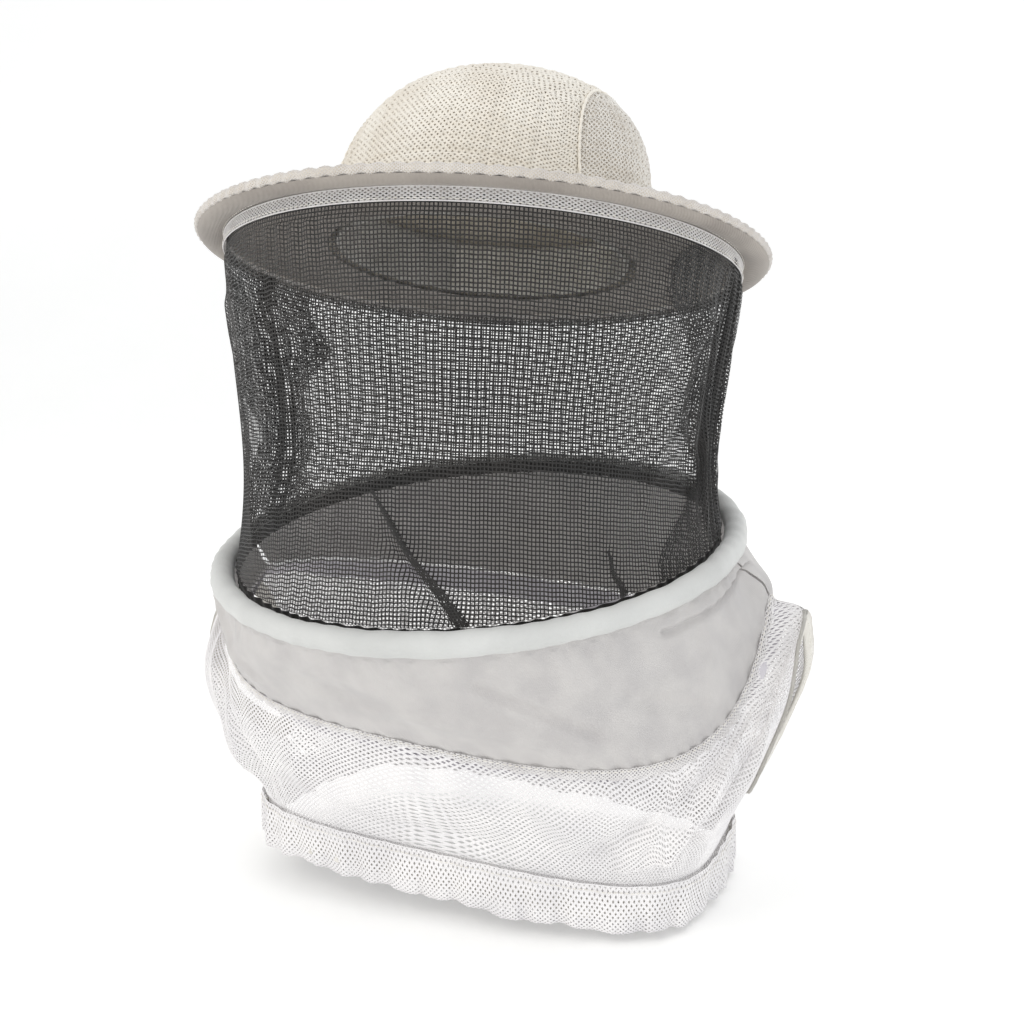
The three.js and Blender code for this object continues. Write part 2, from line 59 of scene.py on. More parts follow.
def add_node(tree, kind, inputs=None, **settings):
    """Adds a node with its settings, and links or sets its inputs."""
    made = tree.nodes.new(kind)
    for name, value in settings.items():
        setattr(made, name, value)
    for name, value in (inputs or {}).items():
        if isinstance(value, bpy.types.NodeSocket):
            tree.links.new(value, made.inputs[name])
        else:
            made.inputs[name].default_value = value
    return made


def fabric(name, light, shade, patch, grain, relief, roughness, sheen=0.3, threads=None):
    """A cloth that drifts between two colours in patches; its threads or its grain give relief."""
    made = bpy.data.materials.new(name)
    made.use_nodes = True
    tree = made.node_tree
    tree.nodes.clear()
    place = add_node(tree, "ShaderNodeTexCoord").outputs["Object"]
    drift = add_node(tree, "ShaderNodeTexNoise", {"Vector": place, "Scale": 1 / patch, "Detail": 4.0})
    colour = add_node(tree, "ShaderNodeValToRGB", {"Fac": drift.outputs["Fac"]})
    colour.color_ramp.elements[0].position = 0.38
    colour.color_ramp.elements[0].color = to_linear(shade)
    colour.color_ramp.elements[1].position = 0.62
    colour.color_ramp.elements[1].color = to_linear(light)
    if threads:
        height = threads(tree)
    else:
        height = add_node(tree, "ShaderNodeTexNoise",
                          {"Vector": place, "Scale": 1 / grain, "Detail": 2.0}).outputs["Fac"]
    bump = add_node(tree, "ShaderNodeBump", {"Height": height, "Distance": relief, "Strength": 0.8})
    surface = add_node(tree, "ShaderNodeBsdfPrincipled", {
        "Base Color": colour.outputs["Color"], "Normal": bump.outputs["Normal"],
        "Roughness": roughness, "Sheen Weight": sheen, "Sheen Roughness": 0.5, "IOR": 1.5})
    add_node(tree, "ShaderNodeOutputMaterial", {"Surface": surface.outputs["BSDF"]})
    return made


camera_right = Vector((math.cos(math.radians(22.4)), math.sin(math.radians(22.4)), 0))
camera_back = Vector((math.sin(math.radians(22.4)) * math.cos(math.radians(2)),
                      -math.cos(math.radians(22.4)) * math.cos(math.radians(2)),
                      math.sin(math.radians(2))))
camera_up = camera_back.cross(camera_right)
camera = bpy.data.objects.new("camera", bpy.data.cameras.new("camera"))
camera.data.lens = 42.27
camera.data.sensor_width = 36
camera.location = camera_back * 0.78 + Vector((0, 0, -0.1))
looking = -camera_back + camera_right * 0.0222 - camera_up * 0.0785
camera.rotation_euler = looking.to_track_quat("-Z", "Y").to_euler()
bpy.context.collection.objects.link(camera)
bpy.context.scene.camera = camera
bpy.context.scene.view_settings.view_transform = "Standard"


def soft_lamp(name, place, aim, size, power, colour):
    lamp = bpy.data.lights.new(name, "AREA")
    lamp.shape = "DISK"
    lamp.size = size
    lamp.energy = power
    lamp.color = to_linear(colour)[:3]
    holder = bpy.data.objects.new(name, lamp)
    holder.location = place
    holder.rotation_euler = (Vector(aim) - Vector(place)).to_track_quat("-Z", "Y").to_euler()
    bpy.context.collection.objects.link(holder)


soft_lamp("key_lamp", (-0.9, -1.6, 1.3), (0, 0, -0.15), 1.4, 11, "#fffaf2")
soft_lamp("fill_lamp", (1.7, -1.1, 0.5), (0, 0, -0.15), 1.6, 3, "#f4f8ff")
soft_lamp("back_lamp", (0.5, 1.8, 1.4), (0, 0, -0.1), 1.4, 6, "#ffffff")
world = bpy.data.worlds.new("studio")
world.use_nodes = True
world.node_tree.nodes["Background"].inputs["Color"].default_value = to_linear("#f4f5f6")
world.node_tree.nodes["Background"].inputs["Strength"].default_value = 0.88
bpy.context.scene.world = world

floor_z = -0.3935
sweep_points = []
sweep_faces = []
bend_steps = 12
sweep_line = [(-5.0, floor_z), (3.0, floor_z)]
for step in range(1, bend_steps + 1):
    turn = math.pi / 2 * step / bend_steps
    sweep_line.append((3.0 + 1.5 * math.sin(turn), floor_z + 1.5 * (1 - math.cos(turn))))
sweep_line.append((4.5, 6.0))
for y, z in sweep_line:
    sweep_points += [(-9.0, y, z), (9.0, y, z)]
for row in range(len(sweep_line) - 1):
    sweep_faces.append((2 * row, 2 * row + 1, 2 * row + 3, 2 * row + 2))
floor_mesh = bpy.data.meshes.new("studio_floor")
floor_mesh.from_pydata(sweep_points, [], sweep_faces)
floor_mesh.polygons.foreach_set("use_smooth", [True] * len(sweep_faces))
studio_floor = bpy.data.objects.new("studio_floor", floor_mesh)
# Seamless matt paper, lit from behind: almost no gloss, and a faint fibre.
lit_paper = fabric("seamless paper", "#f6f6f5", "#f5f5f4", 0.6, 0.004, 0.0001, 0.95, 0.0)
lit_paper.node_tree.nodes["Principled BSDF"].inputs["Emission Color"].default_value = to_linear("#ffffff")
lit_paper.node_tree.nodes["Principled BSDF"].inputs["Emission Strength"].default_value = 0.2
floor_mesh.materials.append(lit_paper)
bpy.context.collection.objects.link(studio_floor)


# ---------------------------------------------------------------------------------------------
# Crown: three panels of padded lace, cut from a spacer cloth with a diagonal-hole lace on its
# face. The pads between the lace and the lining stand up as a grid of soft squares.
# ---------------------------------------------------------------------------------------------
hat_pitch = math.radians(-9)
crown_half = np.array([0.098, 0.112, 0.102])
crown_power = 2.9
crown_lean = np.array([0.2, -0.08])  # the soft crown slumps to the wearer's left and nods forward
crown_base = 0.0021
crown_across = 42  # squares of the base net across each quarter of the crown
crown_up = 28
pad_squares = 7 / 3  # squares of the base net across one pad, about 8.7 mm
pad_height = 0.0016
lace_cover = 0.0013  # the lace stands this far off the padding
seam_reach = 0.084
seam_lean = 0.22


def on_hat(points):
    """Tilts points from the flat brim's own frame to how the hat sits."""
    x, y, z = np.moveaxis(np.asarray(points, float), -1, 0)
    c, s = math.cos(hat_pitch), math.sin(hat_pitch)
    return np.stack([x, y * c - z * s, y * s + z * c], axis=-1)


def make_piece(name, points, faces, finish, smooth=True, uv=None, outward=True):
    """A mesh object at the origin, with its faces turned outwards and a map in metres if given."""
    points = np.asarray(points, float)
    faces = [list(map(int, face)) for face in faces]
    if outward:
        corners = np.array([face[:3] for face in faces])
        a, b, c = points[corners[:, 0]], points[corners[:, 1]], points[corners[:, 2]]
        normals = np.cross(b - a, c - a)
        if ((normals * (a - points.mean(axis=0))).sum()) < 0:
            faces = [face[::-1] for face in faces]
    mesh = bpy.data.meshes.new(name)
    mesh.from_pydata(points.tolist(), [], faces)
    if uv is not None:
        loops = np.empty(len(mesh.loops), dtype=np.int32)
        mesh.loops.foreach_get("vertex_index", loops)
        layer = mesh.uv_layers.new(name="cloth")
        layer.data.foreach_set("uv", np.asarray(uv, float)[loops].ravel())
    mesh.polygons.foreach_set("use_smooth", [smooth] * len(mesh.polygons))
    mesh.materials.append(finish)
    piece = bpy.data.objects.new(name, mesh)
    bpy.context.collection.objects.link(piece)
    return piece


def openwork_tree():
    """Opens a hole in every face of a net and leaves its threads, sloping down into the holes."""
    tree = bpy.data.node_groups.new("openwork", "GeometryNodeTree")
    for name, kind, way in [
            ("Net", "NodeSocketGeometry", "INPUT"), ("Hole share", "NodeSocketFloat", "INPUT"),
            ("Thread depth", "NodeSocketFloat", "INPUT"), ("Finish", "NodeSocketMaterial", "INPUT"),
            ("Net", "NodeSocketGeometry", "OUTPUT")]:
        tree.interface.new_socket(name, in_out=way, socket_type=kind)
    given = add_node(tree, "NodeGroupInput")
    inwards = add_node(tree, "ShaderNodeMath",
                       {0: given.outputs["Thread depth"], 1: -1.0}, operation="MULTIPLY")
    raised = add_node(tree, "GeometryNodeExtrudeMesh", {
        "Mesh": given.outputs["Net"], "Offset Scale": inwards.outputs[0], "Individual": True},
        mode="FACES")
    drawn_in = add_node(tree, "GeometryNodeScaleElements", {
        "Geometry": raised.outputs["Mesh"], "Selection": raised.outputs["Top"],
        "Scale": given.outputs["Hole share"]}, domain="FACE")
    opened = add_node(tree, "GeometryNodeDeleteGeometry", {
        "Geometry": drawn_in.outputs["Geometry"], "Selection": raised.outputs["Top"]}, domain="FACE")
    real = add_node(tree, "GeometryNodeRealizeInstances", {"Geometry": opened.outputs["Geometry"]})
    dressed = add_node(tree, "GeometryNodeSetMaterial", {
        "Geometry": real.outputs["Geometry"], "Material": given.outputs["Finish"]})
    add_node(tree, "NodeGroupOutput", {"Net": dressed.outputs["Geometry"]})
    return tree


openwork = openwork_tree()


def grow(piece, tree, values):
    """Runs a node tree on a piece and keeps the result as its plain mesh."""
    modifier = piece.modifiers.new(tree.name, "NODES")
    modifier.node_group = tree
    for item in tree.interface.items_tree:
        if item.in_out == "INPUT" and item.name in values:
            modifier[item.identifier] = values[item.name]
    graph = bpy.context.evaluated_depsgraph_get()
    grown = bpy.data.meshes.new_from_object(piece.evaluated_get(graph), depsgraph=graph)
    piece.modifiers.clear()
    plain = piece.data
    piece.data = grown
    bpy.data.meshes.remove(plain)
    grown.name = piece.name
    return piece


def open_net(piece, hole_share, thread_depth, bake_map=None):
    """Makes a net of threads of a piece; bake_map lays its points out flat, without overlaps."""
    finish = piece.data.materials[0]
    grow(piece, openwork, {"Hole share": hole_share, "Thread depth": thread_depth, "Finish": finish})
    mesh = piece.data
    if bake_map:
        points = np.empty(len(mesh.vertices) * 3)
        mesh.vertices.foreach_get("co", points)
        flat = bake_map(points.reshape(-1, 3))
        flat = (flat - flat.min(axis=0)) / (np.ptp(flat, axis=0) + 1e-9)
        loops = np.empty(len(mesh.loops), dtype=np.int32)
        mesh.loops.foreach_get("vertex_index", loops)
        while mesh.uv_layers:
            mesh.uv_layers.remove(mesh.uv_layers[0])
        mesh.uv_layers.new(name="OFBake").data.foreach_set("uv", flat[loops].ravel())
    return piece


def diamonds(points, quads):
    """Turns a net of squares into a diagonal one, with a diamond over each of its threads."""
    quads = np.asarray(quads)
    middles = points[quads].mean(axis=1)
    starts = quads.ravel()
    ends = np.roll(quads, -1, axis=1).ravel()
    owner = np.repeat(np.arange(len(quads)), 4)
    low, high = np.minimum(starts, ends), np.maximum(starts, ends)
    keys, which = np.unique(low * np.int64(len(points)) + high, return_inverse=True)
    forward = np.full(len(keys), -1)
    backward = np.full(len(keys), -1)
    onward = starts < ends
    forward[which[onward]] = owner[onward]
    backward[which[~onward]] = owner[~onward]
    a, b = keys // len(points), keys % len(points)
    count = len(points)
    both = (forward >= 0) & (backward >= 0)
    faces = np.stack([a, count + backward, b, count + forward], axis=1)[both].tolist()
    only = (forward >= 0) & (backward < 0)
    faces += np.stack([a, b, count + forward], axis=1)[only].tolist()
    only = (forward < 0) & (backward >= 0) & (a != b)
    faces += np.stack([b, a, count + backward], axis=1)[only].tolist()
    return np.concatenate([points, middles]), faces


def crown_net(fineness):
    """Even squares over the dome: a round of them up the sides and a square field on top."""
    across, up = crown_across * fineness, crown_up * fineness
    known = {}
    spots = []
    pads = []
    faces = []

    def spot(c, i, j):
        key = tuple(round(value, 5) for value in c)
        if key not in known:
            known[key] = len(spots)
            spots.append(c)
            pads.append((i, j))
        return known[key]

    def slant(share):
        return math.tan(math.pi / 4 * share)

    for quarter in range(4):
        ids = {}
        for i in range(across + 1):
            for j in range(up + 1):
                x, y = 1.0, slant(2 * i / across - 1)
                for _ in range(quarter):
                    x, y = -y, x
                pad = (i / fineness - crown_across / 2, crown_up - j / fineness)
                ids[i, j] = spot((x, y, slant(j / up)), *pad)
        for i in range(across):
            for j in range(up):
                faces.append((ids[i, j], ids[i + 1, j], ids[i + 1, j + 1], ids[i, j + 1]))
    ids = {}
    for i in range(across + 1):
        for j in range(across + 1):
            pad = (i / fineness - crown_across / 2, j / fineness - crown_across / 2)
            ids[i, j] = spot((slant(2 * i / across - 1), slant(2 * j / across - 1), 1.0), *pad)
    for i in range(across):
        for j in range(across):
            faces.append((ids[i, j], ids[i + 1, j], ids[i + 1, j + 1], ids[i, j + 1]))
    return np.array(spots), np.array(pads), np.array(faces)


def on_crown(spots, stand_off):
    """Places directions on the dome's outer face, drawn in by a stand-off in metres."""
    plan = np.hypot(spots[:, 0], spots[:, 1])
    reach = (plan ** crown_power + np.abs(spots[:, 2]) ** crown_power) ** (-1 / crown_power)
    stand_off = np.reshape(stand_off, (-1, 1))
    return spots * reach[:, None] * (crown_half - stand_off)


def lean_crown(points):
    """Leans the upright dome as the crown slumps, and sets it on the tilted brim."""
    points = np.array(points, float)
    points[:, :2] += points[:, 2:] * crown_lean
    return on_hat(points + [0, 0, crown_base])


def pads_at(pads):
    across = np.abs(np.cos(np.pi * pads[:, 0] / pad_squares))
    up = np.abs(np.cos(np.pi * pads[:, 1] / pad_squares))
    return np.sqrt(across * up)


def cut_panel(points, faces, side):
    """Keeps the part of the crown in one panel: 0 is the centre, 1 and -1 the sides."""
    cut = bmesh.new()
    for point in points:
        cut.verts.new(point)
    cut.verts.ensure_lookup_table()
    for face in faces:
        cut.faces.new([cut.verts[k] for k in face])
    for edge in ([1, -1] if side == 0 else [side]):
        bmesh.ops.bisect_plane(
            cut, geom=cut.verts[:] + cut.edges[:] + cut.faces[:], dist=1e-6,
            plane_co=(edge * seam_reach, 0, 0), plane_no=(edge, 0, seam_lean),
            clear_outer=side == 0, clear_inner=side != 0)
    cut.verts.index_update()
    left = lean_crown([v.co[:] for v in cut.verts])
    kept = [[v.index for v in f.verts] for f in cut.faces]
    cut.free()
    return left, kept


def crown_bake(points):
    """Lays the dome out as a disc, by its angle from the top."""
    away = np.hypot(points[:, 0], points[:, 1]) + 1e-9
    angle = np.arctan2(away, points[:, 2] + 0.02)
    return points[:, :2] / away[:, None] * angle[:, None]


# Polyester warp-knit lace, cream and matt, a little yellowed where the knit is thick.
cream_lace = fabric("cream warp-knit lace", "#f7f2e8", "#efe8dc", 0.03, 0.0009, 0.0003, 0.85)
# The same lace on the side panels, stretched further and so greyer and more open.
side_lace = fabric("cream lace, stretched", "#f0ece5", "#e2dcd3", 0.03, 0.0009, 0.0003, 0.85)
# The fluffy spacer threads under the lace: soft, and darker because they lie in its shade.
spacer_pad = fabric("spacer-knit padding", "#f0e8dc", "#e1d8ca", 0.012, 0.0012, 0.0006, 0.95)

spots, pads, net_faces = crown_net(1)
lace_points, lace_faces = diamonds(spots, net_faces)
lace_pads = np.concatenate([pads, np.array([pads[f].mean(axis=0) for f in net_faces])])
seam_pads = np.abs(pads[net_faces] - lace_pads[len(pads):, None]).max(axis=(1, 2)) > 0.6
lace_height = pads_at(lace_pads)
lace_height[len(pads):][seam_pads] = 0.8
lace_on = on_crown(lace_points, (1 - lace_height) * pad_height)
fine_spots, fine_pads, fine_faces = crown_net(2)
pad_on = on_crown(fine_spots, lace_cover + (1 - pads_at(fine_pads)) * pad_height)
for panel, side, finish, hole in [("center", 0, cream_lace, 0.42), ("left", 1, side_lace, 0.56),
                                  ("right", -1, side_lace, 0.56)]:
    lace = make_piece(f"crown_{panel}_lace", *cut_panel(lace_on, lace_faces, side), finish, outward=False)
    open_net(lace, hole, 0.0004, crown_bake)
    padding = make_piece(f"crown_{panel}_padding", *cut_panel(pad_on, fine_faces, side), spacer_pad,
                         outward=False)
    for piece in (lace, padding):
        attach(piece, "hat")
        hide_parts(f"crown_{panel}_panel")


# ---------------------------------------------------------------------------------------------
# Crown seams, base piping and lining: the panels are joined by narrow bound seams, and a corded
# piping is sewn round the crown's foot. A plain knitted lining hangs inside.
# ---------------------------------------------------------------------------------------------
seam_cord = 0.0009
piping_radius = 0.0022
sewn_gap = 0.0004
stitch_length = 0.0026
stitch_thread = 0.0007


def grid_faces(rows, columns, round_columns=False, round_rows=False):
    """The squares of a net of points kept row by row, closed on itself where asked."""
    down = np.arange(rows if round_rows else rows - 1)[:, None]
    along = np.arange(columns if round_columns else columns - 1)[None]
    below, beside = (down + 1) % rows, (along + 1) % columns
    corners = [down * columns + along, down * columns + beside,
               below * columns + beside, below * columns + along]
    return np.stack([c.ravel() for c in corners], axis=1)


def tube(line, radius, sides, closed, out=None):
    """Points and faces of a tube along a line; radius may vary, as an array of line by sides."""
    line = np.asarray(line, float)
    if closed:
        along = np.roll(line, -1, axis=0) - np.roll(line, 1, axis=0)
    else:
        along = np.gradient(line, axis=0)
    along /= np.linalg.norm(along, axis=1, keepdims=True)
    out = line - line.mean(axis=0) if out is None else np.asarray(out, float)
    out = out - along * (out * along).sum(axis=1, keepdims=True)
    out /= np.linalg.norm(out, axis=1, keepdims=True)
    side = np.cross(along, out)
    turn = np.linspace(0, 2 * np.pi, sides, endpoint=False)
    wide = np.broadcast_to(np.asarray(radius, float), (len(line), sides))[..., None]
    points = line[:, None] + wide * (out[:, None] * np.cos(turn)[None, :, None]
                                     + side[:, None] * np.sin(turn)[None, :, None])
    faces = grid_faces(len(line), sides, round_columns=True, round_rows=closed).tolist()
    if not closed:
        faces += [list(range(sides)), [(len(line) - 1) * sides + k for k in range(sides)][::-1]]
    return points.reshape(-1, 3), faces


def stitching_tree():
    """Lays short round stitches along a line of points."""
    tree = bpy.data.node_groups.new("stitching", "GeometryNodeTree")
    for name, kind, way in [
            ("Line", "NodeSocketGeometry", "INPUT"), ("Pitch", "NodeSocketFloat", "INPUT"),
            ("Stitch length", "NodeSocketFloat", "INPUT"), ("Thread", "NodeSocketFloat", "INPUT"),
            ("Finish", "NodeSocketMaterial", "INPUT"), ("Line", "NodeSocketGeometry", "OUTPUT")]:
        tree.interface.new_socket(name, in_out=way, socket_type=kind)
    given = add_node(tree, "NodeGroupInput")
    path = add_node(tree, "GeometryNodeMeshToCurve", {"Mesh": given.outputs["Line"]})
    marks = add_node(tree, "GeometryNodeCurveToPoints",
                     {"Curve": path.outputs["Curve"], "Length": given.outputs["Pitch"]}, mode="LENGTH")
    bead = add_node(tree, "GeometryNodeMeshUVSphere", {"Segments": 6, "Rings": 4, "Radius": 0.5})
    size = add_node(tree, "ShaderNodeCombineXYZ", {
        "X": given.outputs["Thread"], "Y": given.outputs["Thread"], "Z": given.outputs["Stitch length"]})
    laid = add_node(tree, "GeometryNodeInstanceOnPoints", {
        "Points": marks.outputs["Points"], "Instance": bead.outputs["Mesh"],
        "Rotation": marks.outputs["Rotation"], "Scale": size.outputs["Vector"]})
    real = add_node(tree, "GeometryNodeRealizeInstances", {"Geometry": laid.outputs["Instances"]})
    dressed = add_node(tree, "GeometryNodeSetMaterial", {
        "Geometry": real.outputs["Geometry"], "Material": given.outputs["Finish"]})
    add_node(tree, "NodeGroupOutput", {"Line": dressed.outputs["Geometry"]})
    return tree


stitching = stitching_tree()


def sew(name, lines, finish, pitch=0.0036, length=stitch_length, thread=stitch_thread):
    """Rows of stitches along lines of points, as one piece."""
    points = []
    edges = []
    for line in lines:
        start = len(points)
        points += [tuple(map(float, point)) for point in line]
        edges += [(start + k, start + k + 1) for k in range(len(line) - 1)]
    mesh = bpy.data.meshes.new(name)
    mesh.from_pydata(points, edges, [])
    piece = bpy.data.objects.new(name, mesh)
    bpy.context.collection.objects.link(piece)
    return grow(piece, stitching, {"Pitch": pitch, "Stitch length": length, "Thread": thread,
                                   "Finish": finish})


def crown_seam(side, shift, lift):
    """The line where a side panel meets the centre one, moved across the seam and off the cloth."""
    half_width, half_length, height = crown_half + lift
    line = []
    for z in np.sin(np.linspace(0, np.pi / 2, 90)) * height:
        x = seam_reach + shift - seam_lean * z
        plan = (1 - (z / height) ** crown_power) ** (1 / crown_power)
        room = plan ** 2 - (x / half_width) ** 2
        if room < 0:
            break
        line.append((side * x, -half_length * math.sqrt(room), z))
    line += [(x, -y, z) for x, y, z in line[::-1]]
    return lean_crown(line)


# Bleached polyester sewing thread: whiter and a little glossier than the cloth it sews.
white_thread = fabric("white sewing thread", "#f4f1ea", "#e6e2da", 0.01, 0.0004, 0.0001, 0.6)
# Plain knit, matt and soft, in the crown's own cream.
lining_knit = fabric("plain knitted lining", "#ddd6ca", "#cec6b8", 0.04, 0.0012, 0.0003, 0.9)

for name, side in [("left", 1), ("right", -1)]:
    cord_line = crown_seam(side, 0, -0.0003)
    ruched = seam_cord * (1 + 0.35 * np.sin(np.arange(len(cord_line)) * 1.9))[:, None]
    cord_points, cord_faces = tube(cord_line, ruched, 8, False)
    binding = make_piece(f"crown_{name}_seam_binding", cord_points, cord_faces, cream_lace)
    seam_rows = sew(f"crown_{name}_seam_stitches", [
        crown_seam(side, -0.0032, 0.0002), crown_seam(side, 0.0032, 0.0002)], white_thread)
    for piece in (binding, seam_rows):
        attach(piece, "hat")

ring_steps = 288
turns = np.linspace(0, 360, ring_steps, endpoint=False)


def oval(half_width, half_depth, power, degrees, z):
    """Points round an oval: 0 is the front, 90 the wearer's left and 180 the back."""
    a = np.radians(degrees)
    x = half_width * np.sign(np.sin(a)) * np.abs(np.sin(a)) ** (2 / power)
    y = -half_depth * np.sign(np.cos(a)) * np.abs(np.cos(a)) ** (2 / power)
    return np.stack(np.broadcast_arrays(x, y, z + 0 * a), axis=-1)


piping_line = lean_crown(oval(crown_half[0] + piping_radius + sewn_gap, crown_half[1] + piping_radius
                              + sewn_gap, 2, turns, piping_radius))
twist = 0.00018 * np.sin(np.radians(turns)[:, None] * 150 + np.linspace(0, 2 * np.pi, 10, False))
piping = make_piece("crown_foot_piping", *tube(piping_line, piping_radius + twist, 10, True), cream_lace)
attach(piping, "hat")
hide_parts("crown_base_piping")

lining_points = on_crown(spots, 0.0032)
lining = make_piece("crown_knit_lining", lean_crown(lining_points), net_faces, lining_knit)
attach(lining, "hat")
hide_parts("crown_lining")


# ---------------------------------------------------------------------------------------------
# Brim: lace over a stiff cloth on top, smooth grey-beige twill below, and an edge rolled in lace
# round a sprung steel wire that a crimped ferrule closes.
# ---------------------------------------------------------------------------------------------
brim_roll_centre = 0.1764
brim_roll_z = 0.0017
brim_roll_radius = 0.0033
brim_sheet_radius = 0.1742
wire_from = 0.164  # the cloths swell out here, to pass over and under the wire
wire_swell = 0.0019
opening_half_width = 0.0958
opening_half_length = 0.1098
brim_upper_z = 0.0016
brim_under_z = -0.0011


def annulus_net(pitch):
    """A square net cut to the brim's shape."""
    count = int(brim_sheet_radius / pitch) + 1
    line = np.arange(-count, count + 1) * pitch
    x, y = (c.ravel() for c in np.meshgrid(line, line))
    faces = grid_faces(len(line), len(line))
    mid_x, mid_y = x[faces].mean(axis=1), y[faces].mean(axis=1)
    inside = np.hypot(mid_x, mid_y) < brim_sheet_radius
    outside = np.hypot(mid_x / opening_half_width, mid_y / opening_half_length) > 1
    faces = faces[inside & outside]
    used, faces = np.unique(faces, return_inverse=True)
    faces = faces.reshape(-1, 4)
    x, y = x[used], y[used]
    over = np.maximum(np.hypot(x, y) / brim_sheet_radius, 1)
    x, y = x / over, y / over
    under = np.minimum(np.hypot(x / opening_half_width, y / opening_half_length), 1)
    return np.stack([x / under, y / under, 0 * x], axis=1), faces


def polar_sheet(profile, wave):
    """A ring of cloth: level from the head opening to the first radius and height of a profile,
    then through the rest of it, round the wire to the rolled edge."""
    degrees = np.linspace(0, 360, 240, endpoint=False)
    radius, z = profile[0]
    share = np.linspace(0, 1, 10)[:, None, None]
    level = oval(opening_half_width, opening_half_length, 2, degrees, z) * (1 - share) + oval(
        radius, radius, 2, degrees, z) * share
    level[..., 2] += wave * np.sin(np.radians(degrees) * 7) * np.sin(np.pi * share[..., 0]) * (
        0.6 + 0.4 * np.cos(np.radians(degrees) * 4))
    points = np.concatenate([level, [oval(r, r, 2, degrees, h) for r, h in profile[1:]]])
    return points.reshape(-1, 3), grid_faces(len(points), len(degrees), round_columns=True)


def flat_bake(points):
    return points[:, :2]


def round_bake(points):
    """Lays a ring out by its angle and height, opened where the wearer's right side is."""
    return np.stack([np.arctan2(points[:, 1], points[:, 0]), points[:, 2] * 3], axis=1)


def twill_threads(tree):
    """Fine diagonal ribs, drawn 1.4 mm apart because the real 0.5 mm ones are too fine to show."""
    place = add_node(tree, "ShaderNodeTexCoord").outputs["Object"]
    return add_node(tree, "ShaderNodeTexWave", {
        "Vector": place, "Scale": 0.314 / 0.0014, "Distortion": 1.0, "Detail": 2.0},
        bands_direction="DIAGONAL").outputs["Fac"]


# Tightly woven polyester twill: smooth, grey-beige, with a faint satin sheen. Its colour is partly painted
# shade, darkened because the brim's underside lies in shadow.
under_twill_painted_shade = fabric("grey-beige twill", "#a69e96", "#958d86", 0.05, 0.001, 0.00012, 0.7, 0.2,
                     twill_threads)
# The stiff interlining that shows in the lace's holes; it is coloured darker than the lace as painted shade
# in the holes.
interlining_painted_shade = fabric("brim interlining, painted shade", "#d9d0c2", "#cbc1b2", 0.02, 0.001, 0.0003, 0.95)

net_points, net_squares = annulus_net(0.0038)
net_points, brim_diamonds = diamonds(net_points, net_squares)
over_wire = np.clip((np.hypot(net_points[:, 0], net_points[:, 1]) - wire_from) / 0.0065, 0, 1)
net_points[:, 2] = brim_upper_z + 0.0006 + wire_swell * over_wire ** 2 * (3 - 2 * over_wire)
brim_lace = make_piece("brim_top_lace", on_hat(net_points),
                       brim_diamonds, cream_lace, outward=False)
open_net(brim_lace, 0.5, 0.0003, flat_bake)
brim_stiff = make_piece("brim_interlining", *polar_sheet([
    (wire_from, brim_upper_z - 0.0006), (0.1672, 0.0018), (0.1705, 0.0029), (0.1742, 0.0030)], 0.0003),
    interlining_painted_shade, outward=False)
brim_under = make_piece("brim_under_twill", *polar_sheet([
    (0.1625, brim_under_z), (0.1638, -0.0020), (0.1658, -0.0033), (0.1685, -0.0042), (0.1715, -0.0044),
    (0.1742, -0.0038), (0.1764, -0.0026), (0.1776, -0.0010)], 0.0004), under_twill_painted_shade, outward=False)
for piece in (brim_stiff, brim_under):
    for vertex in piece.data.vertices:
        vertex.co = Vector(on_hat(vertex.co[:]))
brim_under.data.flip_normals()

roll_turns = np.linspace(0, 360, 560, endpoint=False)
roll_line = oval(brim_roll_centre, brim_roll_centre, 2, roll_turns, brim_roll_z)


def roll_surface(radius, sides):
    """The rolled edge; the lace was wound on, so it stands in slanting ropes, most at the front."""
    around = np.linspace(0, 2 * np.pi, sides, endpoint=False)
    slant = np.sin(np.radians(roll_turns)[:, None] * 110 + around)
    front = 0.5 + 0.5 * np.cos(np.radians(roll_turns))[:, None]
    return tube(roll_line, radius + (0.0002 + 0.0004 * front) * slant, sides, True)


# The edge's own lace, whiter than the crown's.
roll_lace = fabric("white warp-knit lace", "#e8e3de", "#dbd5cf", 0.03, 0.0009, 0.0003, 0.85)
roll_points, roll_squares = roll_surface(brim_roll_radius - 0.0004, 9)
roll_points, roll_diamonds = diamonds(on_hat(roll_points), np.array(roll_squares))
edge_lace = make_piece("brim_edge_lace", roll_points, roll_diamonds, roll_lace, outward=False)
roll_normals_out = (edge_lace.data.polygons[0].normal.dot(
    edge_lace.data.polygons[0].center - Vector(on_hat(roll_line[0]))) > 0)
if not roll_normals_out:
    edge_lace.data.flip_normals()


def tube_bake(points):
    """Lays a ring-shaped tube out by the angle round the ring and round its section."""
    c, s = math.cos(-hat_pitch), math.sin(-hat_pitch)
    y, z = points[:, 1] * c - points[:, 2] * s, points[:, 1] * s + points[:, 2] * c
    out = np.hypot(points[:, 0], y) - brim_roll_centre
    return np.stack([np.arctan2(y, points[:, 0]), np.arctan2(z - brim_roll_z, -out) * 0.1], axis=1)


open_net(edge_lace, 0.5, 0.0004, tube_bake)
# The roll's cloth under its lace takes the interlining's darker colour, painted shade in the lace's holes.
core_points, core_faces = roll_surface(brim_roll_radius - 0.0009, 12)
edge_core = make_piece("brim_edge_roll_cloth", on_hat(core_points), core_faces, interlining_painted_shade)
brim_rows = sew("brim_stitches", [on_hat(oval(reach, reach, 2, np.linspace(0, 360, 361), height))
                                  for reach, height in [(0.1625, brim_upper_z + 0.0007),
                                                        (0.1625, brim_under_z - 0.0002)]], white_thread)
for piece, node, finish in [(brim_lace, "brim_upper_panel", "crown_lace"),
                            (brim_stiff, "brim_upper_panel", "crown_lace"),
                            (brim_under, "brim_under_panel", "brim_under_cloth"),
                            (edge_lace, "brim_edge_roll", "edge_lace"),
                            (edge_core, "brim_edge_roll", "edge_lace"),
                            (brim_rows, None, "edge_lace")]:
    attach(piece, "hat")
    if node:
        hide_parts(node)


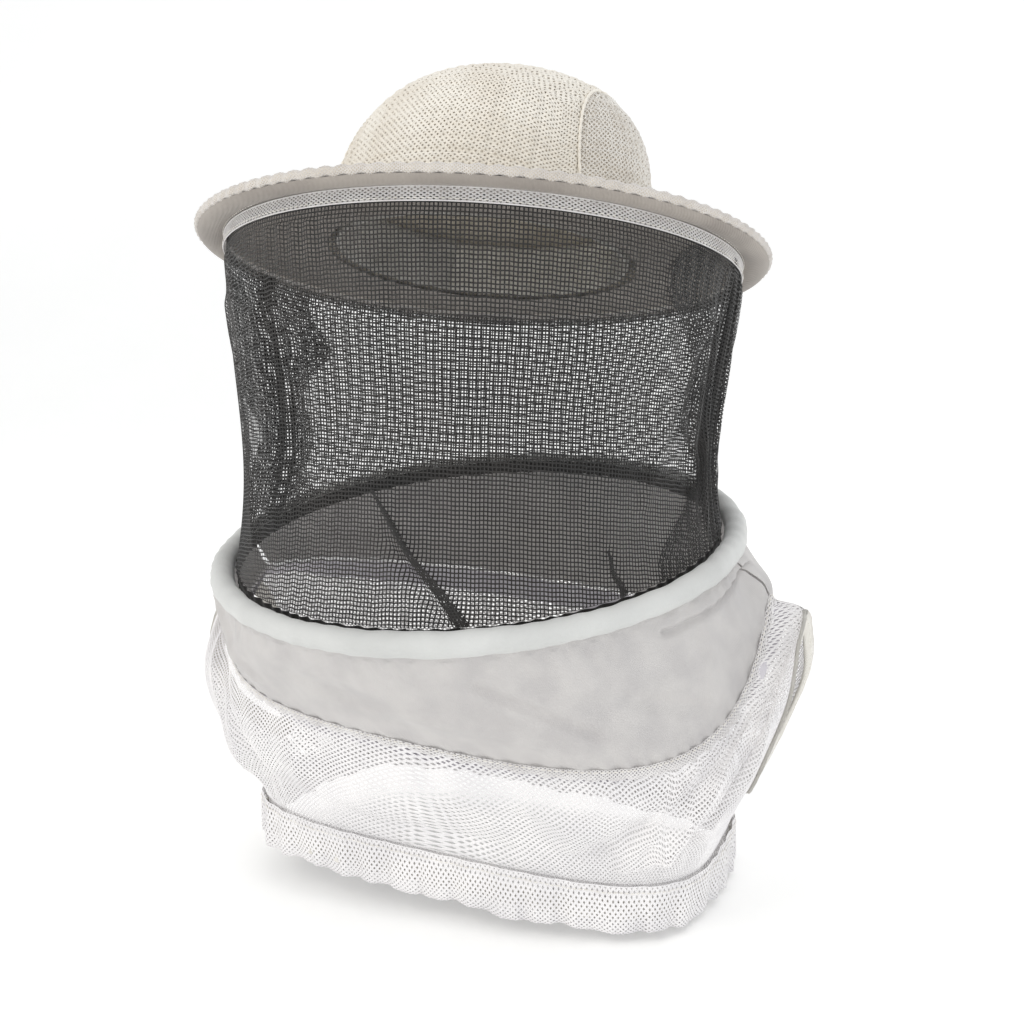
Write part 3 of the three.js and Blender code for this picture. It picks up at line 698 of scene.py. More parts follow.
# ---------------------------------------------------------------------------------------------
# Sweatband: a folded cotton band sewn round the inside of the crown, with a stretch section of
# ribbed elastic across the back.
# ---------------------------------------------------------------------------------------------
band_height = 0.034
band_half_width = 0.0895
band_half_length = 0.1025
elastic_from, elastic_to = 138.4, 221.6


def band_sheet(start, end, columns, ruck):
    degrees = np.linspace(start, end, columns)
    rise = np.linspace(-0.0018, band_height - 0.0021, 9)[:, None]
    inward = ruck * np.sin(np.radians(degrees) * 140) * np.sin(np.linspace(0, np.pi, 9))[:, None]
    points = oval(band_half_width, band_half_length, 2, degrees[None], rise)
    points[..., :2] *= (1 + inward / 0.1)[..., None]
    return lean_crown(points.reshape(-1, 3)), grid_faces(9, columns)


def rib_threads(tree):
    """The ribs of woven elastic, drawn 1.8 mm apart because real 0.7 mm ones are too fine to show."""
    place = add_node(tree, "ShaderNodeTexCoord").outputs["Object"]
    return add_node(tree, "ShaderNodeTexWave", {"Vector": place, "Scale": 0.314 / 0.0018},
                    bands_direction="Z").outputs["Fac"]


# Brushed cotton twill, soft and matt. Braided elastic: ribbed, whiter, with a dull sheen.
band_cotton = fabric("brushed cotton band", "#cfcdc8", "#c2bfb9", 0.03, 0.0009, 0.0002, 0.9)
ribbed_elastic = fabric("woven rib elastic", "#f0ede6", "#e4e0d8", 0.02, 0.001, 0.0003, 0.7, 0.2,
                        rib_threads)
band = make_piece("sweatband_cloth", *band_sheet(-elastic_from, elastic_from, 200, 0.0002), band_cotton)
band_elastic = make_piece("sweatband_stretch", *band_sheet(elastic_from + 0.4, elastic_to - 0.4, 120,
                                                           0.0007), ribbed_elastic)
for piece, node, finish in [(band, "sweatband", "yoke_cloth"),
                            (band_elastic, "sweatband_elastic", "elastic")]:
    wall = piece.modifiers.new("band wall", "SOLIDIFY")
    wall.thickness = 0.0014
    wall.offset = 0
    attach(piece, "hat")
    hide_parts(node)


# ---------------------------------------------------------------------------------------------
# Veil: square-holed black net hung from a white lace tape under the brim and sewn to a black
# tape inside the collar. Its panels are gathered and doubled where they join at each side.
# ---------------------------------------------------------------------------------------------
collar_pitch = math.radians(13)
collar_place = np.array([0, -0.011, -0.176])
veil_top_radius = 0.161
veil_top_z = -0.0147
veil_bottom_radius = 0.1535
veil_bottom_z = 0.0051
veil_waist = 0.007
net_pitch = 0.00235
tape_top_z = -0.0021
tape_height = 0.0078
tape_edge_radius = 0.0004


def on_collar(points):
    """Tilts points from the hoop's own flat frame to how the collar sits."""
    x, y, z = np.moveaxis(np.asarray(points, float), -1, 0)
    c, s = math.cos(collar_pitch), math.sin(collar_pitch)
    return np.stack([x, y * c - z * s, y * s + z * c], axis=-1) + collar_place


def ring(radius, degrees, z):
    """Points round a ring: 0 is the wearer's left, 90 the back and -90 the front."""
    a = np.radians(degrees)
    return np.stack(np.broadcast_arrays(radius * np.cos(a), radius * np.sin(a), z + 0 * a), axis=-1)


def ridge(across, down, start, end, width, height):
    """A fold along a line from start to end, as wide as width and standing out by height."""
    (x0, y0), (x1, y1) = start, end
    along = ((across - x0) * (x1 - x0) + (down - y0) * (y1 - y0)) / ((x1 - x0) ** 2 + (y1 - y0) ** 2)
    held = np.clip(along, 0, 1)
    gap = np.hypot(across - x0 - held * (x1 - x0), down - y0 - held * (y1 - y0))
    return height * np.exp(-(gap / width) ** 2)


def crowd(degrees, middle, reach, hold):
    """Draws the net's columns together towards a line, by up to the share hold."""
    off = degrees - middle
    return middle + off * (1 - hold * np.exp(-(off / reach) ** 2))


def veil_point(degrees, share):
    """The hung net, for angles and shares of the way down, with its gathers and drawn folds."""
    side_gap = np.minimum(np.abs(degrees), 180 - np.abs(degrees))
    side = np.exp(-(side_gap / 11) ** 2)
    hang = np.sin(np.pi * np.clip(share, 0, 1))
    sag = np.sin(np.pi * np.clip(share, 0, 1) ** 1.5)
    out = -veil_waist * sag
    out = out - side * hang * 0.005 + side * np.sqrt(hang) * 0.0032 * np.sin(
        np.radians(side_gap) * 62 + 2.2 * share)
    out = out + 0.0016 * hang * np.sin(np.radians(degrees) * 9 + 1.5 * share + 0.7)
    out = out + 0.0009 * hang * np.sin(np.radians(degrees) * 23 - 3.5 * share + 1.1)
    out = out + 0.0007 * np.exp(-(share / 0.16) ** 2) * np.sin(np.radians(degrees) * 90) * (
        0.35 + np.exp(-((degrees + 110) / 9) ** 2)) * (share > 0)
    flat, drop = degrees * 2.75, share * 200  # both in millimetres, near enough, to lay folds out
    out = out - ridge(flat, drop, (-86 * 2.75, 8), (-86 * 2.75, 92), 2.2, 0.0012)
    out = out - ridge(flat, drop, (-88 * 2.75, 150), (-72 * 2.75, 205), 3.0, 0.0016)
    out = out - ridge(flat, drop, (-40 * 2.75, 172), (-36 * 2.75, 205), 2.5, 0.0014)
    out = out + ridge(flat, drop, (-150 * 2.75, 30), (-128 * 2.75, 170), 7, 0.0022)
    out = out + ridge(flat, drop, (-14 * 2.75, 40), (-30 * 2.75, 150), 6, 0.0022)
    top = on_hat(ring(veil_top_radius - 0.0009 * (share < 0), degrees,
                      veil_top_z - 0.11 * np.minimum(share, 0)))
    bottom = on_collar(ring(veil_bottom_radius, degrees, veil_bottom_z))
    hung = np.clip(share, 0, 1)[..., None]
    return top * (1 - hung) + bottom * hung + ring(1, degrees, 0) * out[..., None]


def cut_net(surface, pitch):
    """Cuts an even net to a surface kept as rows of points: rows of squares from its first row,
    ended by its last. Returns the net's points and squares."""
    steps = np.linalg.norm(np.diff(surface, axis=0), axis=2)
    reach = np.concatenate([np.zeros((1, surface.shape[1])), np.cumsum(steps, axis=0)])
    rows = int(math.ceil(reach[-1].max() / pitch)) + 1
    marks = np.arange(rows) * pitch
    net = np.empty((rows, surface.shape[1], 3))
    for column in range(surface.shape[1]):
        for axis in range(3):
            net[:, column, axis] = np.interp(marks, reach[:, column], surface[:, column, axis])
    faces = grid_faces(rows, surface.shape[1])
    start = marks[:, None] < reach[-1][None] - pitch * 0.15
    faces = faces[start.ravel()[faces[:, 0]] | start.ravel()[faces[:, 1]]]
    used, faces = np.unique(faces, return_inverse=True)
    return net.reshape(-1, 3)[used], faces.reshape(-1, 4)


def weld(points, faces):
    """Joins points that meet, and drops the corners and faces that leaves over."""
    keys, first, which = np.unique(np.round(points, 6), axis=0, return_index=True, return_inverse=True)
    which = which.ravel()
    kept = []
    for face in faces:
        ids = [int(which[k]) for k in face]
        ids = [k for n, k in enumerate(ids) if k != ids[n - 1]]
        if len(set(ids)) == len(ids) and len(ids) > 2:
            kept.append(ids)
    return points[first], kept


def veil_net(start, end, columns, shift=0.0):
    """A panel of net between two angles, its columns crowded together towards the side seams."""
    degrees = np.linspace(start, end, columns)[None]
    share = np.linspace(-0.085, 1, 120)[:, None]
    drawn = degrees + 0 * share
    for middle in (-180, 0, 180):
        drawn = crowd(drawn, middle, 9, 0.28 * np.sin(np.pi * np.clip(share, 0, 1)))
    drawn = crowd(drawn, -88 + 16 * np.clip((share - 0.76) / 0.24, 0, 1), 2.2,
                  0.75 * (share > 0.72) * np.clip((share - 0.72) / 0.1, 0, 1))
    surface = veil_point(drawn, share + 0 * drawn)
    if shift:
        surface = surface + ring(1, drawn, 0) * shift
    return weld(*cut_net(surface, net_pitch))


# Knitted nylon netting, dyed black: matt, a little brown where it is thin, with dull glints.
black_net = fabric("black nylon netting", "#24211f", "#151413", 0.05, 0.0008, 0.0002, 0.55, 0.15)
# Bleached white lace tape, cooler than the crown's lace.
white_lace = fabric("white lace tape", "#efedec", "#e3e0df", 0.02, 0.0008, 0.0002, 0.8)


def hang_between_rings(piece):
    """Bakes the placement of a piece of the veil into its mesh."""
    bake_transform(piece)


for name, start, end, node, width, length in [
        ("front", -177.1, -2.9, "veil_front_panel", 0.50, 0.226),
        ("back", 2.9, 177.1, "veil_back_panel", 0.50, 0.170)]:
    panel = make_piece(f"veil_{name}_net", *veil_net(start, end, 213), black_net, smooth=False)
    open_net(panel, 0.64, 0.0002, round_bake)
    hang_between_rings(panel)
    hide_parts(node)

# Where the net was caught while it was sewn, it is folded over itself in narrow dark strips.
strip_points, strip_faces = [], []
for from_angle, to_angle, from_share, widest in [(-91, -71, 0.66, 3.0), (-41, -37, 0.86, 1.6)]:
    along = np.linspace(0, 1, 46)[:, None]
    for layer in (0, 1):
        lap = np.linspace(-0.5, 0.5, 5)[None] * (1 if layer else -1) * widest * (0.25 + 0.75 * along)
        angle = from_angle + (to_angle - from_angle) * along + lap + 0.5 * np.sin(along * 9 + layer)
        drop = from_share + (1 - from_share) * along + 0 * lap
        caught = veil_point(angle, drop) + ring(1, angle, 0) * (
            0.0008 + 0.0006 * layer + 0.0012 * np.sin(np.pi * along) * (lap / widest + 0.5))[..., None]
        strip_faces += (grid_faces(46, 5) + len(strip_points)).tolist()
        strip_points += caught.reshape(-1, 3).tolist()
caught_net = make_piece("veil_front_caught_folds", strip_points, strip_faces, black_net, smooth=False)
open_net(caught_net, 0.4, 0.0001)
hang_between_rings(caught_net)

# The gathered net is pleated over itself beside each seam, so it looks darker there.
for name, seam, edge, threads in [
        ("right_front", -177, -163, 0.0050), ("left_front", -3, -21, 0.0067),
        ("left_back", 3, 17, 0.0046), ("right_back", 177, 163, 0.0044)]:
    share = np.linspace(-0.05, 1, 120)[:, None]
    reach = np.linspace(0, 1, 20)[None] ** 0.9
    free_edge = edge + (edge - seam) * (0.30 * np.sin(share * 6.5 + 0.6) - 0.22 * np.sin(share * 15 + seam))
    angle = seam + (free_edge - seam) * reach
    off = 0.0011 + np.sin(np.pi * np.clip(share, 0, 1)) * (
        0.0012 * reach + 0.0011 * np.sin(reach * 8 + share * 5 + seam))
    pleat = veil_point(angle, share + 0 * angle) + ring(1, angle, 0) * off[..., None]
    pleat = make_piece(f"veil_{name}_pleat", *weld(*cut_net(pleat, net_pitch)), black_net, smooth=False)
    open_net(pleat, 0.6, 0.0002)
    hang_between_rings(pleat)

for name, middle in [("left", 0), ("right", 180)]:
    layers = [veil_net(middle - 3.1, middle + 3.1, 9), veil_net(middle - 2.7, middle + 3.5, 9, 0.0012),
              veil_net(middle - 3.5, middle + 2.7, 9, -0.0012)]
    strip_points, strip_faces = [], []
    for layer_points, layer_faces in layers:
        strip_faces += [[k + len(strip_points) for k in face] for face in layer_faces]
        strip_points += layer_points.tolist()
    strip = make_piece(f"veil_{name}_side_gather", strip_points, strip_faces, black_net, smooth=False)
    open_net(strip, 0.55, 0.0002)
    seam_share = np.linspace(0, 1, 60)
    seam_rows = sew(f"veil_{name}_seam_stitches", [veil_point(0 * seam_share + middle + 0.6, seam_share)
                                                   + ring(0.0018, middle, 0)], black_net, thread=0.001)
    for piece in (strip, seam_rows):
        hang_between_rings(piece)
    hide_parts(f"veil_{name}_seam")

tape_turns = np.linspace(0, 360, 300, endpoint=False)
tape_rows = np.linspace(0, 1, 5)[:, None]
tape_wave = 0.0003 * np.sin(np.radians(tape_turns) * 31) * tape_rows
tape_points = ring(veil_top_radius + 0.0006 + tape_wave, tape_turns[None],
                   tape_top_z - tape_height * tape_rows)
tape_points, tape_faces = diamonds(on_hat(tape_points.reshape(-1, 3)),
                                   grid_faces(5, 300, round_columns=True))
top_tape = make_piece("veil_top_lace_tape", tape_points, tape_faces, white_lace)
open_net(top_tape, 0.52, 0.0003, round_bake)
edge_points, edge_faces = [], []
for height in (tape_top_z - 0.0004, tape_top_z - tape_height):
    part_points, part_faces = tube(on_hat(ring(veil_top_radius + 0.0008, tape_turns, height)),
                                   tape_edge_radius, 6, True)
    edge_faces += [[k + len(edge_points) for k in face] for face in part_faces]
    edge_points += part_points.tolist()
tape_edges = make_piece("veil_top_tape_edges", edge_points, edge_faces, white_lace)
tape_stitches = sew("veil_top_tape_stitches", [on_hat(ring(
    veil_top_radius + 0.0013, np.linspace(0, 360, 361), tape_top_z - tape_height + 0.0012))], white_thread)
for piece in (top_tape, tape_edges, tape_stitches):
    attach(piece, "hat")
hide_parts("veil_top_tape")

ruck_turns = np.linspace(0, 360, 900, endpoint=False)
ruck_rows = np.linspace(-1, 1, 5)[:, None]
ruck = 0.0009 * np.sin(np.radians(ruck_turns) * 97 + np.sin(np.radians(ruck_turns) * 13) * 2) * ruck_rows
low_tape = make_piece("veil_bottom_tape_rucked", on_collar(ring(
    veil_bottom_radius + ruck, ruck_turns[None], 0.0045 * ruck_rows).reshape(-1, 3)),
    grid_faces(5, 900, round_columns=True), black_net)
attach(low_tape, "collar")
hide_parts("veil_bottom_tape")


# ---------------------------------------------------------------------------------------------
# Collar hoop: a sprung wire closed by a crimped ferrule, a slit foam tube pushed over it, and a
# sleeve of soft white cotton drawn over both and sewn shut underneath.
# ---------------------------------------------------------------------------------------------
hoop_radius = 0.163
hoop_tube = 0.007


def metal(name, colour, roughness, scratch):
    """A bare metal with fine drawn scratches."""
    made = bpy.data.materials.new(name)
    made.use_nodes = True
    tree = made.node_tree
    tree.nodes.clear()
    place = add_node(tree, "ShaderNodeTexCoord").outputs["Object"]
    marks = add_node(tree, "ShaderNodeTexNoise", {"Vector": place, "Scale": 1 / scratch, "Detail": 3.0})
    rough = add_node(tree, "ShaderNodeMapRange", {
        "Value": marks.outputs["Fac"], "To Min": roughness - 0.08, "To Max": roughness + 0.1})
    bump = add_node(tree, "ShaderNodeBump", {"Height": marks.outputs["Fac"], "Distance": 0.00005})
    surface = add_node(tree, "ShaderNodeBsdfPrincipled", {
        "Base Color": to_linear(colour), "Metallic": 1.0, "Roughness": rough.outputs["Result"],
        "Normal": bump.outputs["Normal"]})
    add_node(tree, "ShaderNodeOutputMaterial", {"Surface": surface.outputs["BSDF"]})
    return made


# Soft cotton jersey, cool white and almost without gloss.
sleeve_cotton = fabric("white cotton jersey", "#d9dad8", "#cfd0ce", 0.05, 0.0012, 0.00025, 0.9)
# Drawn and galvanised spring steel; crimped zinc ferrules; open-cell grey foam.
spring_steel = metal("galvanised spring wire", "#b9bcc0", 0.38, 0.002)
crimped_zinc = metal("crimped zinc ferrule", "#a9adb1", 0.45, 0.001)
grey_foam = fabric("open-cell foam", "#bfc0c2", "#a9abad", 0.004, 0.0009, 0.0008, 1.0, 0.0)
for node, finish in [("brim_wire", spring_steel), ("hoop_wire", spring_steel), ("hoop_foam", grey_foam),
                     ("brim_wire_ferrule", crimped_zinc), ("hoop_wire_ferrule", crimped_zinc)]:
    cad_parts[node].data.materials.clear()
    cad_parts[node].data.materials.append(finish)

sleeve_turns = np.linspace(-180, 180, 480, endpoint=False)
around = np.linspace(0, 2 * np.pi, 24, endpoint=False)
a = np.radians(sleeve_turns)[:, None]
sleeve_radius = hoop_tube + 0.00022 * np.sin(a * 61 + 2 * around + np.sin(a * 7) * 3) + 0.0002 * np.sin(
    a * 23 - around + 1) + 0.00025 * np.sin(a * 5 + 2)
sleeve = make_piece("hoop_sleeve_cotton", *[on_collar(p) if k == 0 else p for k, p in enumerate(
    tube(ring(hoop_radius, sleeve_turns, 0), sleeve_radius, 24, True))], sleeve_cotton)
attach(sleeve, "collar")
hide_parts("hoop_sleeve")


# ---------------------------------------------------------------------------------------------
# Yoke: smooth, tightly woven grey-white cloth, front and back, sewn to the hoop's sleeve above
# and to the bib below. It hangs slack, so it dimples and creases under the hoop.
# ---------------------------------------------------------------------------------------------
bib_shift = 0.010
yoke_half_width = 0.175
yoke_reach = {"front": 0.130, "back": 0.135}
yoke_lowest = {"front": -0.278, "back": -0.228}
yoke_power = 2.5
shoulder_z = -0.205
yoke_top_radius = 0.1655
yoke_top_z = -0.0080
cloth_split = 0.35


def yoke_edge(degrees):
    """The yoke's lower edge, round from the front."""
    turned = np.abs((degrees + 180) % 360 - 180)
    back = turned > 90
    at = np.where(back[..., None], oval(yoke_half_width, yoke_reach["back"], yoke_power, degrees, 0),
                  oval(yoke_half_width, yoke_reach["front"], yoke_power, degrees, 0))
    from_middle = np.where(back, 180 - turned, turned) / 90
    lowest = np.where(back, yoke_lowest["back"], yoke_lowest["front"])
    at[..., 2] = shoulder_z + (lowest - shoulder_z) * (1 - from_middle ** 3.5) - 0.1 * at[..., 0] * (
        1 - from_middle ** 4)
    return at + [bib_shift, 0, 0]


def yoke_top(degrees):
    return on_collar(ring(yoke_top_radius, degrees - 90, yoke_top_z))


def yoke_surface(degrees, share, folds=True):
    """The slack cloth between its two edges, for arrays of angles and shares of the way down."""
    at = yoke_top(degrees) * (1 - share[..., None]) + yoke_edge(degrees) * share[..., None]
    swell = 0.004 * np.sin(np.pi * share)
    if folds:
        flat, drop = degrees * 2.95, share * 88  # millimetres, near enough, to lay folds out
        free = np.sin(np.pi * np.clip(share, 0, 1)) ** 0.7
        wave = np.radians(degrees)
        swell = swell + free * (0.0013 * np.sin(wave * 11 + 2.1 * share + 0.4)
                                + 0.0008 * np.sin(wave * 19 - 3.7 * share + 2.0)
                                + 0.0006 * np.sin(wave * 31 + 6.0 * share)
                                + 0.0007 * np.sin(wave * 5 + 9.0 * share + 1.0))
        swell = swell + 0.0007 * np.sin(wave * 67 + 3 * np.sin(wave * 9)) * np.exp(-(share / 0.22) ** 2) * (
            share > 0.01)
        swell = swell - ridge(flat, drop, (58 * 2.95, 10), (95 * 2.95, 17), 2.4, 0.0036)
        swell = swell - ridge(flat, drop, (-64 * 2.95, 4), (-40 * 2.95, 66), 3.4, 0.0044)
        swell = swell + ridge(flat, drop, (-54 * 2.95, 4), (-30 * 2.95, 60), 4.5, 0.0040)
        swell = swell - ridge(flat, drop, (18 * 2.95, 22), (34 * 2.95, 60), 5, 0.0034)
        swell = swell - ridge(flat, drop, (-18 * 2.95, 34), (-2 * 2.95, 46), 9, 0.0028)
        swell = swell + ridge(flat, drop, (2 * 2.95, 52), (22 * 2.95, 70), 8, 0.0026)
        swell = swell - ridge(flat, drop, (44 * 2.95, 40), (60 * 2.95, 64), 7, 0.0032)
        swell = swell + 0.0007 * np.sin(wave * 83 + 3 * np.sin(wave * 7)) * np.exp(-((1 - share) / 0.12) ** 2)
    return at + oval(1, 1, 2, degrees, 0) * swell[..., None]


def plain_weave(pitch):
    """The threads of a plain weave on a piece's own map, drawn this far apart."""
    def threads(tree):
        place = add_node(tree, "ShaderNodeUVMap", uv_map="cloth").outputs["UV"]
        bands = [add_node(tree, "ShaderNodeTexWave", {
            "Vector": place, "Scale": 0.314 / pitch, "Distortion": 0.6, "Detail": 1.0},
            bands_direction=way).outputs["Fac"] for way in "XY"]
        return add_node(tree, "ShaderNodeMath", {0: bands[0], 1: bands[1]}, operation="ADD").outputs[0]
    return threads


# Tightly woven polycotton, drawn with 1.1 mm threads because its real 0.3 mm ones can't show.
yoke_cloth = fabric("grey-white polycotton", "#cfccca", "#c5c2c1", 0.022, 0.001, 0.00008, 0.72, 0.25,
                    plain_weave(0.0011))
for name, start, end, node in [("front", -90, 90, "yoke_front"), ("back", 90, 270, "yoke_back")]:
    degrees = np.linspace(start + cloth_split, end - cloth_split, 300)[None]
    share = np.linspace(-0.06, 1.0, 84)[:, None]
    points = yoke_surface(degrees + 0 * share, share + 0 * degrees)
    flat = np.stack([(degrees + 0 * share) * 0.0029, (share + 0 * degrees) * 0.088], axis=-1)
    yoke = make_piece(f"yoke_{name}_cloth", points.reshape(-1, 3), grid_faces(84, 300), yoke_cloth,
                      uv=flat.reshape(-1, 2))
    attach(yoke, "collar")
    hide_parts(node)


# ---------------------------------------------------------------------------------------------
# Bib: one layer of open white air mesh, front and back, joined over the shoulders and under the
# arms, and sewn to the yoke with a scalloped lace edge. It hangs in soft folds from the shoulders.
# ---------------------------------------------------------------------------------------------
cloth_thickness = 0.0012
bib_top_gap = cloth_thickness + 0.001
shoulder_half_width = 0.193
shoulder_drop = 0.005
armhole_bottom_z = -0.325
armhole_bottom_half_width = 0.166
armhole_reach = 0.045
side_gap = 0.0017
hem_half_width = 0.148
hem_half_depth = 0.102
hem_power = 3.6
hem_top_z = -0.342
hem_height = 0.028
hem_skew = 0.068  # the hem hangs this much lower, metre for metre, towards the wearer's left
bib_pitch = 0.0033


def through_points(points, share):
    """A smooth curve through points (centripetal Catmull-Rom), for shares from 0 to 1."""
    points = np.asarray(points, float)
    padded = np.concatenate([[2 * points[0] - points[1]], points, [2 * points[-1] - points[-2]]])
    spot = np.clip(np.asarray(share, float), 0, 1) * (len(points) - 1)
    run = np.minimum(spot.astype(int), len(points) - 2)
    t = (spot - run)[:, None]
    p0, p1, p2, p3 = (padded[run + k] for k in range(4))
    d0, d1, d2 = (np.sqrt(np.linalg.norm(b - a, axis=1, keepdims=True))
                  for a, b in ((p0, p1), (p1, p2), (p2, p3)))
    m1 = ((p1 - p0) / d0 - (p2 - p0) / (d0 + d1) + (p2 - p1) / d1) * d1
    m2 = ((p2 - p1) / d1 - (p3 - p1) / (d1 + d2) + (p3 - p2) / d2) * d1
    return (2 * t ** 3 - 3 * t ** 2 + 1) * p1 + (t ** 3 - 2 * t ** 2 + t) * m1 + (
        3 * t ** 2 - 2 * t ** 3) * p2 + (t ** 3 - t ** 2) * m2


def bib_top(degrees):
    """The bib's upper edge, a little further down the cloth than the yoke's lower edge."""
    along = yoke_edge(degrees + 0.5) - yoke_edge(degrees - 0.5)
    along /= np.linalg.norm(along, axis=-1, keepdims=True)
    down = yoke_edge(degrees) - yoke_top(degrees)
    down -= along * (down * along).sum(axis=-1, keepdims=True)
    down /= np.linalg.norm(down, axis=-1, keepdims=True)
    return yoke_edge(degrees) + down * bib_top_gap


def skewed(at):
    """Lowers points along the hem towards the wearer's left, before the bib's shift."""
    at[..., 2] -= hem_skew * (at[..., 0] + hem_half_width)
    return at


def bib_side(side, facing, share):
    """The bib's side edge: shoulder seam, armhole, then the short seam under the arm."""
    shoulder = shoulder_z - shoulder_drop
    middle = (shoulder + armhole_bottom_z) / 2
    line = np.array([
        [shoulder_half_width, side_gap, shoulder],
        [shoulder_half_width + 0.002, armhole_reach * 0.65, shoulder - 0.018],
        [shoulder_half_width, armhole_reach, middle + 0.012],
        [(shoulder_half_width + armhole_bottom_half_width) / 2, armhole_reach * 0.95, middle - 0.026],
        [armhole_bottom_half_width, armhole_reach * 0.3, armhole_bottom_z + 0.002],
        [armhole_bottom_half_width - 0.005, side_gap, armhole_bottom_z - 0.004],
        [hem_half_width, side_gap, hem_top_z + 0.0012]]) * [side, facing, 1]
    line[-1] = skewed(line[-1])
    line += [bib_shift, 0, 0]
    neck = bib_top(np.array([side * 90.0]))[0]
    neck[1] = facing * side_gap
    return through_points(np.concatenate([[neck], line]), share)


def bib_surface(facing, across, share):
    """One side of the bib, as rows of points from the hem up to the yoke."""
    degrees = (0 if facing < 0 else 180) - facing * 180 * (across - 0.5)
    top, bottom = bib_top(degrees), skewed(oval(
        hem_half_width, hem_half_depth, hem_power, degrees, hem_top_z + 0.0012)) + [bib_shift, 0, 0]
    for edge in (top, bottom):
        edge[:, 1] = facing * np.maximum(facing * edge[:, 1], side_gap)
    left, right = bib_side(-1, facing, share), bib_side(1, facing, share)
    v, u = share[:, None, None], across[None, :, None]
    at = top[None] * (1 - v) + bottom[None] * v
    at = at + (left - (top[0] * (1 - v[:, 0]) + bottom[0] * v[:, 0]))[:, None] * (1 - u) ** 6
    at = at + (right - (top[-1] * (1 - v[:, 0]) + bottom[-1] * v[:, 0]))[:, None] * u ** 6
    flat, drop = np.broadcast_arrays((across[None] - 0.5) * 480, share[:, None] * 110)
    free = (np.sin(np.pi * share[:, None]) ** 0.8) * np.clip((0.5 - np.abs(across - 0.5)) / 0.06, 0, 1)[None]
    out = 0.0016 * np.sin(flat / 11 + drop / 31) + 0.0011 * np.sin(flat / 6.2 - drop / 23 + 1.3)
    out = out + 0.0010 * np.sin(flat / 23 + drop / 9 + 0.5)
    for line, width, height in [
            (((200, 10), (96, 96)), 6, 0.0078), (((214, 30), (122, 108)), 5, -0.0066),
            (((180, 4), (60, 88)), 6, -0.0056), (((150, 6), (84, 104)), 5, 0.0048),
            (((-196, 16), (-120, 100)), 7, 0.0040), (((-170, 8), (-90, 92)), 6, -0.0036),
            (((-60, 60), (70, 34)), 8, 0.0024), (((-100, 78), (20, 92)), 6, -0.0022),
            (((120, 60), (168, 112)), 5, 0.0036), (((20, 30), (90, 72)), 7, 0.0022)]:
        out = out + ridge(flat, drop, *line, width, height)
    near_hem = np.exp(-((1 - share[:, None]) / 0.12) ** 2)
    out = out + 0.0012 * np.sin(flat / 2.4 + 2 * np.sin(flat / 17)) * near_hem
    normal = np.cross(np.gradient(at, axis=1), np.gradient(at, axis=0))
    normal /= np.linalg.norm(normal, axis=2, keepdims=True) + 1e-12
    if (normal[..., 1] * facing).sum() < 0:
        normal = -normal
    return at + normal * (out * free)[..., None]


def gather_below_collar(piece):
    """Bakes the placement of a piece of the bib into its mesh."""
    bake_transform(piece)


# Polyester air mesh, bleached white with a cool cast and a slight nylon gleam on its threads.
air_mesh = fabric("white polyester air mesh", "#f9f7f7", "#efedee", 0.03, 0.0008, 0.0002, 0.6, 0.2)
across = np.linspace(0, 1, 128)
down = np.linspace(0, 1, 150)
for name, facing, node in [("front", -1, "bib_front"), ("back", 1, "bib_back")]:
    surface = bib_surface(facing, across, down)[::-1]
    points, faces = weld(*cut_net(surface, bib_pitch))
    squares = np.array([face + face[-1:] * (4 - len(face)) for face in faces])
    points, faces = diamonds(points, squares)
    points, faces = weld(points, faces)
    bib = make_piece(f"bib_{name}_mesh", points, faces, air_mesh, smooth=False)
    open_net(bib, 0.5, 0.0003, lambda p: p[:, ::2])
    gather_below_collar(bib)
    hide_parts(node)

# The seam allowance: the same mesh, turned down behind itself, so it looks denser; its greyer colour is
# painted shade between the two layers.
doubled_mesh_painted_shade = fabric("air mesh, doubled, painted shade", "#dedbe1", "#d0ccd4", 0.03, 0.0008, 0.0002, 0.7, 0.2)
for name, facing in [("front", -1), ("back", 1)]:
    degrees = (0 if facing < 0 else 180) - facing * 180 * (np.linspace(0.03, 0.97, 150) - 0.5)
    surface = bib_surface(facing, np.linspace(0.03, 0.97, 150), np.linspace(0.0, 0.13, 12))
    surface = surface - oval(1, 1, 2, degrees, 0)[None] * 0.0016
    allowance = make_piece(f"bib_{name}_seam_allowance", surface.reshape(-1, 3), grid_faces(12, 150),
                           doubled_mesh_painted_shade, smooth=False)
    gather_below_collar(allowance)

lace_degrees = np.linspace(0, 360, 420, endpoint=False)
lace_drop = np.linspace(-0.4, 1, 4)[:, None]
scallop = 0.0011 * np.abs(np.sin(np.radians(lace_degrees) * 38)) + 0.004
edge_in, edge_out = yoke_edge(lace_degrees), bib_top(lace_degrees)
down_edge = (edge_out - edge_in) / bib_top_gap
out_edge = np.cross(down_edge, np.roll(edge_in, -1, axis=0) - np.roll(edge_in, 1, axis=0))
out_edge /= np.linalg.norm(out_edge, axis=1, keepdims=True)
out_edge *= np.sign((out_edge * oval(1, 1, 2, lace_degrees, 0)).sum())
ruffle = 0.0012 + 0.0008 * np.sin(np.radians(lace_degrees) * 76) * np.clip(lace_drop, 0, 1)
lace_points = edge_in + down_edge * (lace_drop * scallop)[..., None] + out_edge * ruffle[..., None]
lace_points, lace_faces = diamonds(lace_points.reshape(-1, 3), grid_faces(4, 420, round_columns=True))
seam_lace = make_piece("yoke_seam_lace", lace_points, lace_faces, white_lace, smooth=False)
open_net(seam_lace, 0.5, 0.0003)
seam_rows = sew("yoke_seam_stitches", [edge_in[list(range(420)) + [0]] - down_edge[list(range(420)) + [0]]
                                       * 0.0004 + out_edge[list(range(420)) + [0]] * 0.0016], white_thread)
for piece in (seam_lace, seam_rows):
    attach(piece, "collar")


